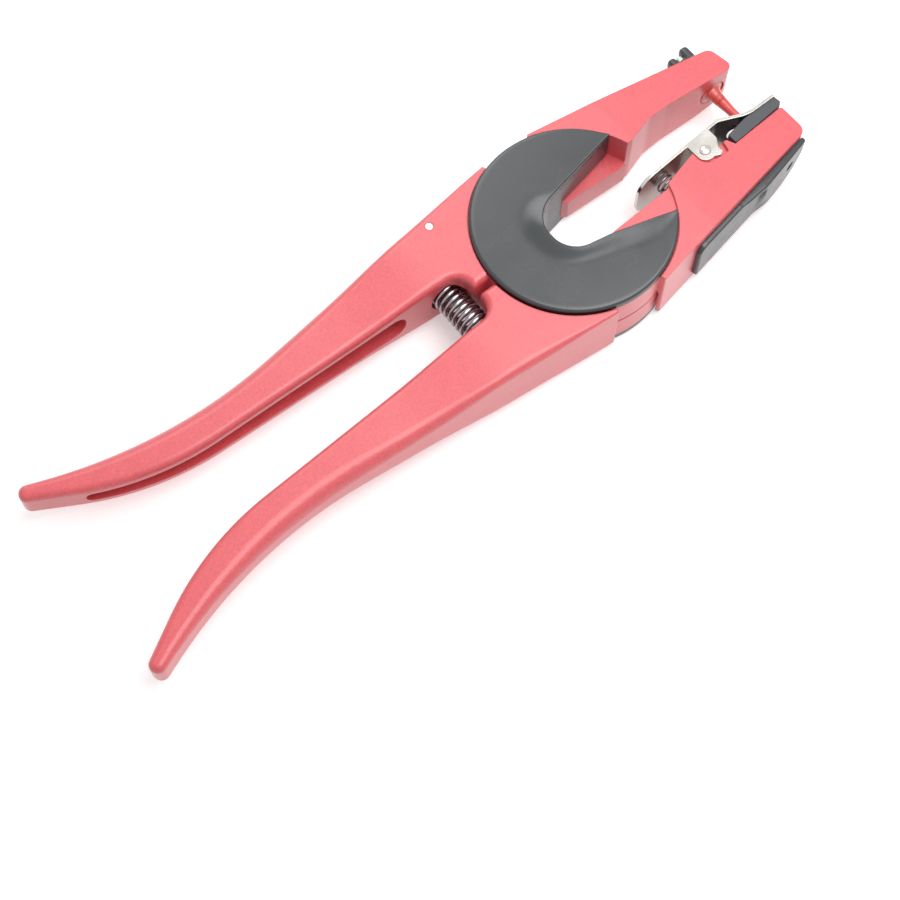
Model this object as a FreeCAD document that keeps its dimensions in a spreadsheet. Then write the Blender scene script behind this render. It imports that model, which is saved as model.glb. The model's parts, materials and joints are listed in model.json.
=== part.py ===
import FreeCAD, Part
import math
import os
import Sketcher
from FreeCAD import Placement, Rotation, Vector

# An ear tag applicator: two levers that turn on an open hub sleeve. One jaw carries the pin, the other
# the clip that holds the tag. X runs from the handles to the jaws, Y across them, Z is the pivot axis,
# and the origin is on that axis halfway through the hub.

SIZES = [
    # name, value, what it is (mm, or degrees for an angle)
    ("disc_r", 30, "radius of a hub layer and of a cover"),
    ("hub_half", 10, "half the thickness of the arms at the hub"),
    ("recess", 1, "depth that a cover is let in"),
    ("cover_t", 2.5, "thickness of a cover"),
    ("washer_t", 0.6, "thickness of the washer between the layers"),
    ("run_gap", 0.05, "running clearance"),
    ("seat_gap", 0.3, "clearance round a piece that is let in"),
    ("turn_gap", 0.6, "gap between a layer and the other lever's arms"),
    ("throat_r", 9, "half the width of the throat"),
    ("throat_x", 0.7, "how far the throat's round end is ahead of the pivot"),
    ("sleeve_wall", 3, "wall of the open sleeve"),
    ("flare", 11.1, "slope of the throat's side under the pin jaw"),
    ("far_flare", 18.3, "slope of the throat's side over the tag jaw"),
    ("tail_flare", 26, "slope of the lower layer's throat, which clears the clip's tail as the tool opens"),
    ("peg_d", 3, "cover peg diameter"),
    ("sleeve_peg_d", 1.6, "sleeve peg diameter"),
    ("handle_back", 141, "handle tip behind the hub"),
    ("handle_slope", 5.5, "slope of a handle's outer side"),
    ("tip_slope", 21.2, "slope of the outer side near the tip"),
    ("bow_out", 151, "bend radius of the outer side"),
    ("bow_in", 87, "bend radius of the inner side"),
    ("tip_half", 5, "half the thickness at the tip"),
    ("tip_wide", 4.8, "width of the tip, seen from above"),
    ("tip_round", 2.4, "rounding of the tip's corners, seen from above"),
    ("grip_half", 6.85, "half the thickness where the grip starts"),
    ("wall_t", 3, "outer wall behind a handle's channel"),
    ("channel_half", 4.6, "half the height of the channel's front end"),
    ("crotch", 1.15, "half the gap between the handles' lobes"),
    ("edge_r", 4.2, "rounding of a handle's outer edges"),
    ("dowel_d", 2.4, "dowel in the tag lever's handle"),
    ("spring_back", 10, "return spring's axis behind the hub"),
    ("spring_od", 9.6, "return spring's outside diameter"),
    ("spring_wire", 1.35, "return spring's wire"),
    ("spring_turns", 11, "return spring's turns"),
    ("spring_seat", 11, "depth of each spring seat from the middle"),
    ("jaw_ahead", 43.7, "tag jaw's nose ahead of the hub"),
    ("jaw_slope", 10.43, "slope of the tag jaw's outer side"),
    ("pin_jaw_slope", 9.18, "slope of the pin jaw's outer side"),
    ("jaw_thin", 2.3, "how much thinner each face is at the noses"),
    ("pin_back", 8.4, "applicator pin behind the tag jaw's nose"),
    ("pin_d", 2.9, "applicator pin's shaft"),
    ("pin_tip", 5, "pin's point beyond the middle line"),
    ("pin_base_d", 8.4, "applicator pin's base"),
    ("stem_d", 4, "applicator pin's stem"),
    ("clip_ahead", 15.5, "clip rivet ahead of the hub"),
    ("clip_half", 8.9, "half the width of the clip"),
    ("strip_t", 1, "clip sheet thickness"),
    ("rivet_d", 2.6, "clip rivet"),
    ("fork_w", 6, "slot in the clip for the pin"),
    ("small_spring_ahead", 3.2, "clip spring ahead of the hub"),
    ("small_spring_od", 6.2, "clip spring's outside diameter"),
    ("small_spring_wire", 0.7, "clip spring's wire"),
    ("insert_long", 50.5, "jaw insert's length"),
    ("insert_t", 2.2, "jaw insert's thickness outside the jaw"),
    ("insert_half", 7.5, "half the height of the insert"),
    ("rail_half", 2.5, "half the neck of the insert's rail"),
    ("knob_w", 8.4, "lock knob's width over its wings"),
    ("spindle_d", 3, "spindle of the lock knob"),
    ("spare_d", 3.6, "spare pin's rod"),
    ("screw_head_d", 4.8, "head of the screw that holds the spare pin"),
]


class Size:
    """A dimension: its number now, and the expression that ties it to the sheet."""

    def __init__(self, number, text):
        self.number = float(number)
        self.text = text

    def __add__(self, other):
        other = size(other)
        return Size(self.number + other.number, f"({self.text} + {other.text})")

    def __radd__(self, other):
        return size(other) + self

    def __sub__(self, other):
        other = size(other)
        return Size(self.number - other.number, f"({self.text} - {other.text})")

    def __rsub__(self, other):
        return size(other) - self

    def __mul__(self, other):
        other = size(other)
        return Size(self.number * other.number, f"({self.text} * {other.text})")

    def __rmul__(self, other):
        return size(other) * self

    def __truediv__(self, other):
        other = size(other)
        return Size(self.number / other.number, f"({self.text} / {other.text})")

    def __neg__(self):
        return size(0) - self


def size(value):
    """A plain number as a size."""
    if isinstance(value, Size):
        return value
    return Size(value, f"{float(value):.6f}")


def tangent(angle):
    """The slope of a line at an angle in degrees."""
    angle = size(angle)
    return Size(math.tan(math.radians(angle.number)), f"tan({angle.text})")


def sine(angle):
    """The sine of an angle in degrees."""
    return Size(math.sin(math.radians(angle.number)), f"sin({angle.text})")


def cosine(angle):
    """The cosine of an angle in degrees."""
    return Size(math.cos(math.radians(angle.number)), f"cos({angle.text})")


doc = FreeCAD.newDocument("ear_tag_applicator")
sheet = doc.addObject("Spreadsheet::Sheet", "Sizes")
S = {}
for row, (alias, value, note) in enumerate(SIZES, start=1):
    sheet.set(f"A{row}", alias)
    sheet.set(f"B{row}", str(value))
    sheet.set(f"C{row}", note)
    sheet.setAlias(f"B{row}", alias)
doc.recompute()
for alias, value, note in SIZES:
    S[alias] = Size(sheet.get(alias), f"Sizes.{alias}")

NODES = []


def bind(thing, path, value):
    """Tie one property to the sheet."""
    thing.setExpression(path, size(value).text)


def keep(thing, name):
    """Mark an object as a sub-part under its node name."""
    thing.Label = name
    NODES.append(thing)
    return thing


# ------------------------------------------------------------------ places on the tool


def ahead(distance):
    """X of a place ahead of the hub's rim."""
    return S["disc_r"] + distance


def behind(distance):
    """X of a place behind the hub's rim."""
    return -(S["disc_r"] + distance)


def nose(distance):
    """X of a place behind the tag jaw's nose."""
    return ahead(S["jaw_ahead"] - distance)


def wide(distance):
    """Y of a place measured from the hub's rim."""
    return S["disc_r"] + distance


def near(distance):
    """Y of a place measured from the throat's side."""
    return S["throat_r"] + distance


def rim(share):
    """A distance as a share of the hub's radius."""
    return S["disc_r"] * share


LAYER_OUT = S["hub_half"] - S["recess"]
LAYER_IN = S["washer_t"] / 2
COVER_OUT = LAYER_OUT + S["cover_t"]
SLEEVE_R = S["throat_r"] + S["sleeve_wall"]
ROOM_R = S["disc_r"] + S["turn_gap"]
SPRING_X = behind(S["spring_back"])
PIN_X = nose(S["pin_back"])
CLIP_X = ahead(S["clip_ahead"])
CLIP_Y = -near(-3.15)
EAR_FLOOR = S["clip_half"] - S["strip_t"] - 0.25
NOSE_HALF = S["hub_half"] - S["jaw_thin"]
STOCK_HALF = S["hub_half"] * 1.2
PIN_FACE = near(2.45)
SEAT_Y = near(-0.15)
BEYOND = 30

FORWARD_Z = Rotation(Vector(1, 0, 0), -90)
BACK_Z = Rotation(Vector(1, 0, 0), 90)


# ------------------------------------------------------------------ sketches


def new_sketch(body, name, plane, lift=0, turn=None):
    """A sketch on one of the body's own planes, lifted off it along its normal."""
    sketch = body.newObject("Sketcher::SketchObject", name)
    support = next(item for item in body.Origin.OriginFeatures if item.Role == plane)
    sketch.AttachmentSupport = [(support, "")]
    sketch.MapMode = "FlatFace"
    if turn is not None:
        sketch.AttachmentOffset = Placement(Vector(), Rotation(Vector(0, 1, 0), 1))
        bind(sketch, "AttachmentOffset.Rotation.Angle", turn)
    bind(sketch, "AttachmentOffset.Base.z", lift)
    return sketch


def fix_point(sketch, geometry, vertex, x, y):
    """Dimension a point from the sketch's origin."""
    for kind, value in (("DistanceX", x), ("DistanceY", y)):
        index = sketch.addConstraint(Sketcher.Constraint(kind, -1, 1, geometry, vertex, value.number))
        sketch.setExpression(f"Constraints[{index}]", value.text)


def add_circle(sketch, x, y, radius):
    """A circle with its centre and radius tied to the sheet."""
    x, y, radius = size(x), size(y), size(radius)
    circle = Part.Circle(Vector(x.number, y.number, 0), Vector(0, 0, 1), radius.number)
    index = sketch.addGeometry(circle, False)
    fix_point(sketch, index, 3, x, y)
    rule = sketch.addConstraint(Sketcher.Constraint("Radius", index, radius.number))
    sketch.setExpression(f"Constraints[{rule}]", radius.text)


def corner_arc(before, here, after, radius):
    """Entry, exit and centre of the arc that rounds a corner, and whether it turns left."""
    back = (before - here).normalize()
    on = (after - here).normalize()
    half = back.getAngle(on) / 2
    reach = radius / math.tan(half)
    centre = here + (back + on).normalize() * (radius / math.sin(half))
    left = (here - before).cross(after - here).z > 0
    return here + back * reach, here + on * reach, centre, left


def add_outline(sketch, corners):
    """A closed chain of lines through the corners (x, y, radius), each rounded to its radius."""
    corners = [(size(x), size(y), size(radius)) for x, y, radius in corners]
    spots = [Vector(x.number, y.number, 0) for x, y, radius in corners]
    count = len(corners)
    arcs = {}
    for i, (x, y, radius) in enumerate(corners):
        if radius.number > 0:
            arcs[i] = corner_arc(spots[i - 1], spots[i], spots[(i + 1) % count], radius.number)
    first = sketch.GeometryCount
    for i in range(count):
        nxt = (i + 1) % count
        start = arcs[i][1] if i in arcs else spots[i]
        end = arcs[nxt][0] if nxt in arcs else spots[nxt]
        sketch.addGeometry(Part.LineSegment(start, end), False)
    for i, (x, y, radius) in enumerate(corners):
        line_in = first + (i - 1) % count
        line_out = first + i
        if i not in arcs:
            sketch.addConstraint(Sketcher.Constraint("Coincident", line_in, 2, line_out, 1))
            fix_point(sketch, line_out, 1, x, y)
            continue
        entry, leave, centre, left = arcs[i]
        ends = (entry, leave) if left else (leave, entry)
        angles = [math.atan2(p.y - centre.y, p.x - centre.x) for p in ends]
        circle = Part.Circle(centre, Vector(0, 0, 1), radius.number)
        arc = sketch.addGeometry(Part.ArcOfCircle(circle, *angles), False)
        into, out = (1, 2) if left else (2, 1)
        sketch.addConstraint(Sketcher.Constraint("Tangent", line_in, 2, arc, into))
        sketch.addConstraint(Sketcher.Constraint("Tangent", arc, out, line_out, 1))
        rule = sketch.addConstraint(Sketcher.Constraint("Radius", arc, radius.number))
        sketch.setExpression(f"Constraints[{rule}]", radius.text)
        mark = sketch.addGeometry(Part.Point(spots[i]), True)
        sketch.addConstraint(Sketcher.Constraint("PointOnObject", mark, 1, line_in))
        sketch.addConstraint(Sketcher.Constraint("PointOnObject", mark, 1, line_out))
        fix_point(sketch, mark, 1, x, y)


def mirrored(corners, side):
    """The corners on this side of the X axis, or mirrored to the other side."""
    return [(x, size(y) * side, radius) for x, y, radius in corners]


# ------------------------------------------------------------------ features


def add_pad(body, sketch, length, name, both=False, reverse=False):
    """Material from a sketch: one way along its normal, or half each way."""
    feature = body.newObject("PartDesign::Pad", name)
    feature.Profile = sketch
    bind(feature, "Length", length)
    feature.SideType = "Symmetric" if both else "One side"
    feature.Reversed = reverse
    return feature


def add_pocket(body, sketch, name, length=None, both=False, reverse=False):
    """A cut from a sketch against its normal, through everything unless a length is given."""
    feature = body.newObject("PartDesign::Pocket", name)
    feature.Profile = sketch
    if length is None:
        feature.Type = "ThroughAll"
    else:
        bind(feature, "Length", length)
    feature.SideType = "Symmetric" if both else "One side"
    feature.Reversed = reverse
    return feature


def cut_outline(body, name, plane, corners, **how):
    """A pocket with a cornered outline."""
    sketch = new_sketch(body, name + "_sketch", plane, how.pop("lift", 0), how.pop("turn", None))
    add_outline(sketch, corners)
    return add_pocket(body, sketch, name, **how)


def cut_circle(body, name, plane, x, y, radius, **how):
    """A pocket with a round outline."""
    sketch = new_sketch(body, name + "_sketch", plane, how.pop("lift", 0), how.pop("turn", None))
    add_circle(sketch, x, y, radius)
    return add_pocket(body, sketch, name, **how)


def pad_outline(body, name, plane, corners, length, **how):
    """A pad with a cornered outline."""
    sketch = new_sketch(body, name + "_sketch", plane, how.pop("lift", 0), how.pop("turn", None))
    add_outline(sketch, corners)
    return add_pad(body, sketch, length, name, **how)


def pad_circle(body, name, plane, x, y, radius, length, **how):
    """A pad with a round outline."""
    sketch = new_sketch(body, name + "_sketch", plane, how.pop("lift", 0), how.pop("turn", None))
    add_circle(sketch, x, y, radius)
    return add_pad(body, sketch, length, name, **how)


def turned(name, profile, x, y, z, rotation):
    """A turned piece: (radius, height) corners on its axis, set down with its axis turned to a direction."""
    body = doc.addObject("PartDesign::Body", name + "_body")
    sketch = new_sketch(body, name + "_profile", "XZ_Plane")
    add_outline(sketch, [(radius, height, rounding) for radius, height, rounding in profile])
    feature = body.newObject("PartDesign::Revolution", name + "_turn")
    feature.Profile = sketch
    feature.ReferenceAxis = (sketch, ["V_Axis"])
    feature.Angle = 360
    body.Placement = Placement(Vector(), rotation)
    for axis, value in (("x", x), ("y", y), ("z", z)):
        bind(body, f"Placement.Base.{axis}", value)
    return keep(body, name)


# ------------------------------------------------------------------ the throat


def throat_outline(grow=0.0):
    """The covers' throat: a round end that flares to both jaws, grown by a clearance."""
    far = ahead(BEYOND / 3)
    left = S["throat_x"] - S["throat_r"] + 0.4 - grow
    up = near(0.65) + grow
    down = near(0.9) + grow
    rise = (far - left) * tangent(S["flare"])
    near_x = size(6.5)
    top_left = up - 1.6
    return [
        (far, top_left + rise, 0),
        (left, top_left, S["throat_r"] - 0.2),
        (left, -(down - 2.5), S["throat_r"] - 0.6),
        (near_x, -(down + 0.3), 10),
        (far, -(down + 0.3 + (far - near_x) * tangent(S["far_flare"])), 0),
    ]


def layer_throat(side):
    """A layer's throat: flared on the side of the other lever's jaw, straight under its own."""
    far = ahead(BEYOND / 3)
    start = size(3)
    flared = near(1.9)
    slope = S["flare"] if side > 0 else S["tail_flare"]
    return mirrored(
        [
            (start, flared, 0),
            (far, flared + (far - start) * tangent(slope), 0),
            (far, -near(-0.7), 0),
            (start, -near(0.85), 0),
        ],
        side,
    )


# ------------------------------------------------------------------ places shared with small pieces

BASE_DEEP = 1.4
BUSH_LONG = 3.4
BUSH_R = S["stem_d"] / 2 + 1.2
SCREW_DEEP = 5.6
SCREW_R = 1.1
WASHER_R = 3.1
WASHER_T = 0.6
BEND_SHARE = 0.7092

JAW_CORNER_X = rim(0.2667)
JAW_CORNER_Y = -wide(0.9)
PIN_JAW_CORNER_X = rim(0.26)
PIN_JAW_CORNER_Y = wide(0.35)
PIN_NOSE = 1.4


def jaw_back(x):
    """Y of the pin jaw's outer face at an X."""
    return PIN_JAW_CORNER_Y - (x - PIN_JAW_CORNER_X) * tangent(S["pin_jaw_slope"])


WASHER_Y = jaw_back(PIN_X) + 0.1
KNOB_Y = WASHER_Y + WASHER_T + 0.05


# ------------------------------------------------------------------ the levers


def handle_outer(drop=0.0):
    """The three corners of a handle's outer side, moved inwards by a drop."""
    hub_x = -rim(0.2933)
    tip_x = behind(S["handle_back"] - 1.4)
    bend_x = behind(S["handle_back"] * BEND_SHARE)
    hub_y = wide(0.4)
    bend_y = hub_y + (bend_x - hub_x) * tangent(S["handle_slope"])
    tip_y = bend_y + (bend_x - tip_x) * tangent(S["tip_slope"])
    return [(hub_x, hub_y - drop), (bend_x, bend_y - drop), (tip_x, tip_y - drop)]


def handle_outline(side):
    """A handle's plan, from its lobe at the hub round to the tip and back."""
    hub, bend, tip = handle_outer()
    inner_bend = (behind(S["handle_back"] * 0.7773), near(2.55))
    inner_tip = (tip[0] - S["tip_wide"] * 0.3, tip[1] - S["tip_wide"] * 0.95)
    return mirrored(
        [
            (behind(-4), S["crotch"], 0),
            (behind(5.5), S["crotch"], 0.9),
            (behind(6.1), near(-1.35), 5.0),
            (behind(17), near(-0.9), 0),
            (*inner_bend, S["bow_in"]),
            (*inner_tip, S["tip_round"]),
            (*tip, S["tip_round"]),
            (*bend, S["bow_out"]),
            (*hub, 0.4),
            (-rim(0.2467), wide(-3.4), 0),
            (-rim(0.5333), rim(0.5333), 0),
        ],
        side,
    )


def wall_outline(side):
    """The outer wall that closes a handle's channel."""
    hub, bend, tip = handle_outer()
    deep = handle_outer(S["wall_t"])
    start = behind(19)
    end = behind(S["handle_back"] - S["tip_round"] - 2.6)
    slope = tangent(S["handle_slope"])
    rise = tangent(S["tip_slope"])
    return mirrored(
        [
            (start, deep[0][1] + (start - hub[0]) * slope, 0),
            (*deep[1], S["bow_out"] - S["wall_t"]),
            (end, deep[1][1] + (deep[1][0] - end) * rise, 0),
            (end, bend[1] + (bend[0] - end) * rise, 0),
            (*bend, S["bow_out"]),
            (start, hub[1] + (start - hub[0]) * slope, 0),
        ],
        side,
    )


def face_trim(side):
    """What is cut off above (side 1) or below (side -1): flat at the hub, thinner to grip and nose."""
    top = S["hub_half"] * side
    over = STOCK_HALF * 1.2 * side
    return [
        (behind(S["handle_back"] + 8), over, 0),
        (behind(S["handle_back"] + 8), (S["tip_half"] - 0.1) * side, 0),
        (behind(39), (S["grip_half"] + 0.45) * side, 150),
        (behind(16), top, 60),
        (ahead(0.5), top, 0),
        (nose(-1), NOSE_HALF * side, 0),
        (nose(-1), over, 0),
    ]


def channel_outline():
    """The channel in a handle's inner side: round ends, narrowing to the rear."""
    front = behind(24.5)
    rear = behind(S["handle_back"] * 0.8936)
    tall = S["channel_half"]
    low = S["channel_half"] * 0.46
    return [
        (front, tall, tall * 0.93),
        (rear, low, low * 0.93),
        (rear, -low, low * 0.93),
        (front, -tall, tall * 0.93),
    ]


def lever(name, side, bore_gap, jaw_outline):
    """One lever: its hub layer, handle and jaw. Side 1 has its layer up and its handle on +Y."""
    body = doc.addObject("PartDesign::Body", name + "_body")
    layer_in = LAYER_IN if side > 0 else LAYER_IN + S["run_gap"]
    layer_out = LAYER_OUT if side > 0 else LAYER_OUT - S["run_gap"]
    down = side < 0
    pad_circle(
        body, "layer", "XY_Plane", 0, 0, S["disc_r"], layer_out - layer_in, lift=layer_in * side,
        reverse=down,
    )
    cut_circle(body, "sleeve_bore", "XY_Plane", 0, 0, SLEEVE_R + bore_gap, both=True)
    cut_outline(body, "throat", "XY_Plane", layer_throat(side), both=True)
    pad_outline(body, "handle", "XY_Plane", handle_outline(side), STOCK_HALF * 2, both=True)
    cut_outline(body, "channel", "XZ_Plane", channel_outline(), both=True)
    pad_outline(body, "wall", "XY_Plane", wall_outline(side), STOCK_HALF * 2, both=True)
    pad_outline(body, "jaw", "XY_Plane", jaw_outline, STOCK_HALF * 2, both=True)
    trim = new_sketch(body, "trim_sketch", "XZ_Plane")
    for face in (1, -1):
        add_outline(trim, face_trim(face))
    add_pocket(body, trim, "trim", both=True)
    cut_circle(body, "room", "XY_Plane", 0, 0, ROOM_R, lift=layer_in * side, reverse=down)
    cut_circle(
        body, "cover_seat", "XY_Plane", 0, 0, S["disc_r"] + S["seat_gap"], lift=layer_out * side,
        reverse=not down,
    )
    cut_circle(
        body, "spring_seat", "XZ_Plane", SPRING_X, 0, S["spring_od"] / 2 + 0.7,
        length=S["spring_seat"], reverse=down,
    )
    return body


TAG_JAW = [
    (ahead(-1.6), -near(-0.35), 0),
    (ahead(-0.4), -near(-1.3), 0.6),
    (ahead(5.2), -near(-2.75), 2),
    (ahead(11.0), -near(-4.2), 1.5),
    (ahead(13.3), -near(-5.5), 1.5),
    (ahead(18.4), -near(-5.4), 1.5),
    (ahead(20.6), -near(-2.0), 0.8),
    (ahead(22.7), -near(-2.0), 0.8),
    (ahead(24.0), -near(0.65), 0),
    (nose(0), -near(-0.85), 1.2),
    (nose(0), JAW_CORNER_Y + (nose(0) - JAW_CORNER_X) * tangent(S["jaw_slope"]), 3),
    (JAW_CORNER_X, JAW_CORNER_Y, 0.4),
    (rim(0.24), -wide(-2.4), 0),
    (rim(0.6), -rim(0.6667), 0),
]

PIN_JAW = [
    (ahead(-3), near(0.75), 0),
    (ahead(1.0), near(0.75), 3),
    (ahead(9.6), near(3.35), 8),
    (ahead(17), near(3.6), 8),
    (nose(PIN_NOSE), near(2.0), 2.0),
    (nose(PIN_NOSE + 1.7), jaw_back(nose(PIN_NOSE + 1.7)), 3),
    (PIN_JAW_CORNER_X, PIN_JAW_CORNER_Y, 0.4),
    (rim(0.2333), wide(-2.8), 0),
    (rim(0.6), rim(0.6667), 0),
]


def nose_round(body, front):
    """Round the lower front corner of a jaw, seen from the side."""
    low = -(NOSE_HALF + 4)
    cut_outline(
        body,
        "nose_round",
        "XZ_Plane",
        [
            (front + 3, NOSE_HALF - 5.5, 0),
            (front - 0.4, NOSE_HALF - 7.5, 6),
            (front - 2.6, -(NOSE_HALF - 1.2), 6),
            (front - 12, -(NOSE_HALF + 0.6), 0),
            (front - 12, low, 0),
            (front + 3, low, 0),
        ],
        both=True,
    )


def outer_edges(shape, side):
    """The long top and bottom edges of a handle's outer side, with the rounding at each end of each."""
    hub, bend, tip = [(x.number, y.number) for x, y in handle_outer()]
    inner_y = near(2.55).number
    radius = S["edge_r"].number
    channel = S["channel_half"].number * 0.9
    chosen = []
    for index, edge in enumerate(shape.Edges, start=1):
        box = edge.BoundBox
        ends = [vertex.Point for vertex in edge.Vertexes]
        middle = edge.valueAt((edge.FirstParameter + edge.LastParameter) / 2)
        at_hub = math.hypot(middle.x, middle.y) < ROOM_R.number + 1
        if len(ends) < 2 or at_hub or middle.x > hub[0] - 1.5:
            continue
        across = abs(middle.y)
        centre = (inner_y + bend[1]) / 2 if middle.x > bend[0] else across
        if middle.x <= bend[0]:
            along = (bend[0] - middle.x) / (bend[0] - tip[0])
            centre = (inner_y + bend[1]) / 2 + along * (tip[1] - bend[1])
        on_a_face = box.ZLength < max(box.XLength, box.YLength) and abs(middle.z) > channel
        lengthwise = box.XLength > box.YLength or middle.x < tip[0] + 2.2
        if on_a_face and lengthwise and across > centre and middle.y * side > 0:
            chosen.append((index, *[rounding(point.x, tip[0], radius) for point in ends]))
    return chosen


def rounding(x, tip_x, radius):
    """Edge rounding along a handle: small at the hub, full at the grip, small again at the tip."""
    start = behind(-21).number
    full = behind(S["handle_back"] * 0.454).number
    end = S["tip_round"].number * 0.85
    if x > full:
        return 0.8 + (radius - 0.8) * (start - x) / (start - full)
    return max(end, radius + (end - radius) * (full - x) / (full - tip_x))


def soften(body, name, side):
    """Round the handle's outer edges, more towards the grip."""
    doc.recompute()
    fillet = doc.addObject("Part::Fillet", name + "_fillet")
    fillet.Base = body
    fillet.Edges = outer_edges(body.Shape, side)
    return keep(fillet, name)


def tag_lever():
    """The lever with the upper layer, the handle on +Y and the jaw that holds the tag."""
    body = lever("tag_lever", 1, 0, TAG_JAW)
    nose_round(body, nose(0))
    for face in (1, -1):
        cut_outline(
            body,
            "ear_seat",
            "XY_Plane",
            [
                (ahead(11.6), 2, 0),
                (ahead(11.6), -near(1.0), 3.6),
                (ahead(20.9), -near(1.3), 0.8),
                (ahead(21.5), -near(-1.9), 0.8),
                (ahead(21.5), 2, 0),
            ],
            lift=EAR_FLOOR * face,
            reverse=face > 0,
        )
    cut_circle(body, "rivet_bore", "XY_Plane", CLIP_X, CLIP_Y, S["rivet_d"] / 2 + S["run_gap"], both=True)
    cut_circle(
        body,
        "clip_spring_seat",
        "XZ_Plane",
        ahead(S["small_spring_ahead"]),
        0,
        S["small_spring_od"] / 2 + 0.25,
        length=near(0.0),
        reverse=True,
    )
    cut_circle(
        body, "pin_passage", "XZ_Plane", PIN_X, 0, S["pin_d"] / 2 + 1.1, length=S["disc_r"],
        reverse=True,
    )
    cut_circle(body, "dowel_bore", "XY_Plane", behind(3.4), wide(-5.7), S["dowel_d"] / 2, both=True)
    rail_groove(body)
    for angle in PEG_ANGLES:
        x, y = peg_place(angle, PEG_RING)
        cut_circle(body, "peg_bore", "XY_Plane", x, y, S["peg_d"] / 2, lift=LAYER_OUT, length=size(4))
    return soften(body, "tag_lever", 1)


def pin_lever():
    """The lever with the lower layer, the handle on -Y and the jaw that carries the pin."""
    body = lever("pin_lever", -1, S["run_gap"], PIN_JAW)
    nose_round(body, nose(PIN_NOSE))
    cut_circle(
        body, "base_seat", "XZ_Plane", PIN_X, 0, S["pin_base_d"] / 2 + 0.2,
        length=PIN_FACE + BASE_DEEP, reverse=False,
    )
    cut_circle(body, "bush_bore", "XZ_Plane", PIN_X, 0, BUSH_R, length=PIN_FACE + BASE_DEEP + BUSH_LONG)
    cut_circle(
        body, "spindle_bore", "XZ_Plane", PIN_X, 0, S["spindle_d"] / 2 + S["run_gap"],
        length=S["disc_r"],
    )
    cut_circle(body, "washer_seat", "XZ_Plane", PIN_X, 0, WASHER_R + 0.2, lift=-WASHER_Y)
    hub = handle_outer()[0]
    wall_y = hub[1] - (hub[0] - behind(31)) * tangent(S["handle_slope"]) - S["wall_t"] / 2
    pad_circle(
        body, "screw_boss", "XZ_Plane", behind(31), 0, 3.4, wall_y - near(SCREW_DEEP),
        lift=near(SCREW_DEEP),
    )
    cut_circle(
        body, "screw_bore", "XZ_Plane", behind(31), 0, SCREW_R, lift=near(SCREW_DEEP + 7.5), length=size(8.5)
    )
    return soften(body, "pin_lever", -1)


# ------------------------------------------------------------------ the hub

PEG_ANGLES = (75, 130, 230, 285)
SLEEVE_PEG_ANGLES = (135, 180, 225)
PEG_RING = S["disc_r"] - 9
SLEEVE_PEG_RING = SLEEVE_R - S["sleeve_wall"] / 2 + 0.1


def peg_place(angle, ring):
    """Where a peg stands on its ring."""
    return ring * math.cos(math.radians(angle)), ring * math.sin(math.radians(angle))


def cover(name, side):
    """One C-shaped cover: let into its layer, its outer edges rounded."""
    body = doc.addObject("PartDesign::Body", name + "_body")
    down = side < 0
    pad_circle(
        body, "plate", "XY_Plane", 0, 0, S["disc_r"], S["cover_t"], lift=LAYER_OUT * side,
        reverse=down,
    )
    cut_outline(body, "throat", "XY_Plane", throat_outline(), both=True)
    if side > 0:
        for angle in PEG_ANGLES:
            x, y = peg_place(angle, PEG_RING)
            cut_circle(
                body, "peg_bore", "XY_Plane", x, y, S["peg_d"] / 2, lift=LAYER_OUT + 1.5,
                length=size(2),
            )
    for angle in SLEEVE_PEG_ANGLES:
        x, y = peg_place(angle, SLEEVE_PEG_RING)
        cut_circle(
            body,
            "sleeve_peg_bore",
            "XY_Plane",
            x,
            y,
            S["sleeve_peg_d"] / 2,
            lift=(LAYER_OUT + 1.2) * side,
            length=size(2),
            reverse=down,
        )
    doc.recompute()
    last = body.Tip
    top = COVER_OUT.number * side
    edges = []
    for index, edge in enumerate(last.Shape.Edges, start=1):
        box = edge.BoundBox
        if abs(box.ZMin - top) < 1e-4 and abs(box.ZMax - top) < 1e-4:
            edges.append(f"Edge{index}")
    fillet = body.newObject("PartDesign::Fillet", name + "_rim")
    fillet.Base = (last, edges)
    fillet.Radius = 1.0
    return keep(body, name)


def hub_sleeve():
    """The open sleeve that lines the throat, between the covers."""
    body = doc.addObject("PartDesign::Body", "hub_sleeve_body")
    pad_circle(body, "ring", "XY_Plane", 0, 0, SLEEVE_R, LAYER_OUT * 2, both=True)
    cut_outline(body, "throat", "XY_Plane", throat_outline(), both=True)
    for angle in SLEEVE_PEG_ANGLES:
        x, y = peg_place(angle, SLEEVE_PEG_RING)
        cut_circle(body, "peg_bore", "XY_Plane", x, y, S["sleeve_peg_d"] / 2, both=True)
    return keep(body, "hub_sleeve")


def thrust_washer():
    """The open washer between the two layers."""
    body = doc.addObject("PartDesign::Body", "thrust_washer_body")
    pad_circle(body, "ring", "XY_Plane", 0, 0, S["disc_r"] - 1.5, S["washer_t"], both=True)
    cut_circle(body, "sleeve_bore", "XY_Plane", 0, 0, SLEEVE_R + S["run_gap"], both=True)
    cut_outline(body, "throat", "XY_Plane", throat_outline(1.2), both=True)
    return keep(body, "thrust_washer")


def pegs(name, angles, ring, radius, low, high):
    """A group of straight pegs on a ring."""
    rods = []
    for count, angle in enumerate(angles, start=1):
        rod = doc.addObject("Part::Cylinder", f"{name}_{count}")
        x, y = peg_place(angle, ring)
        bind(rod, "Radius", radius)
        bind(rod, "Height", high - low)
        bind(rod, "Placement.Base.x", x)
        bind(rod, "Placement.Base.y", y)
        bind(rod, "Placement.Base.z", low)
        rods.append(rod)
    group = doc.addObject("Part::Compound", name)
    group.Links = rods
    return keep(group, name)


# ------------------------------------------------------------------ springs


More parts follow.
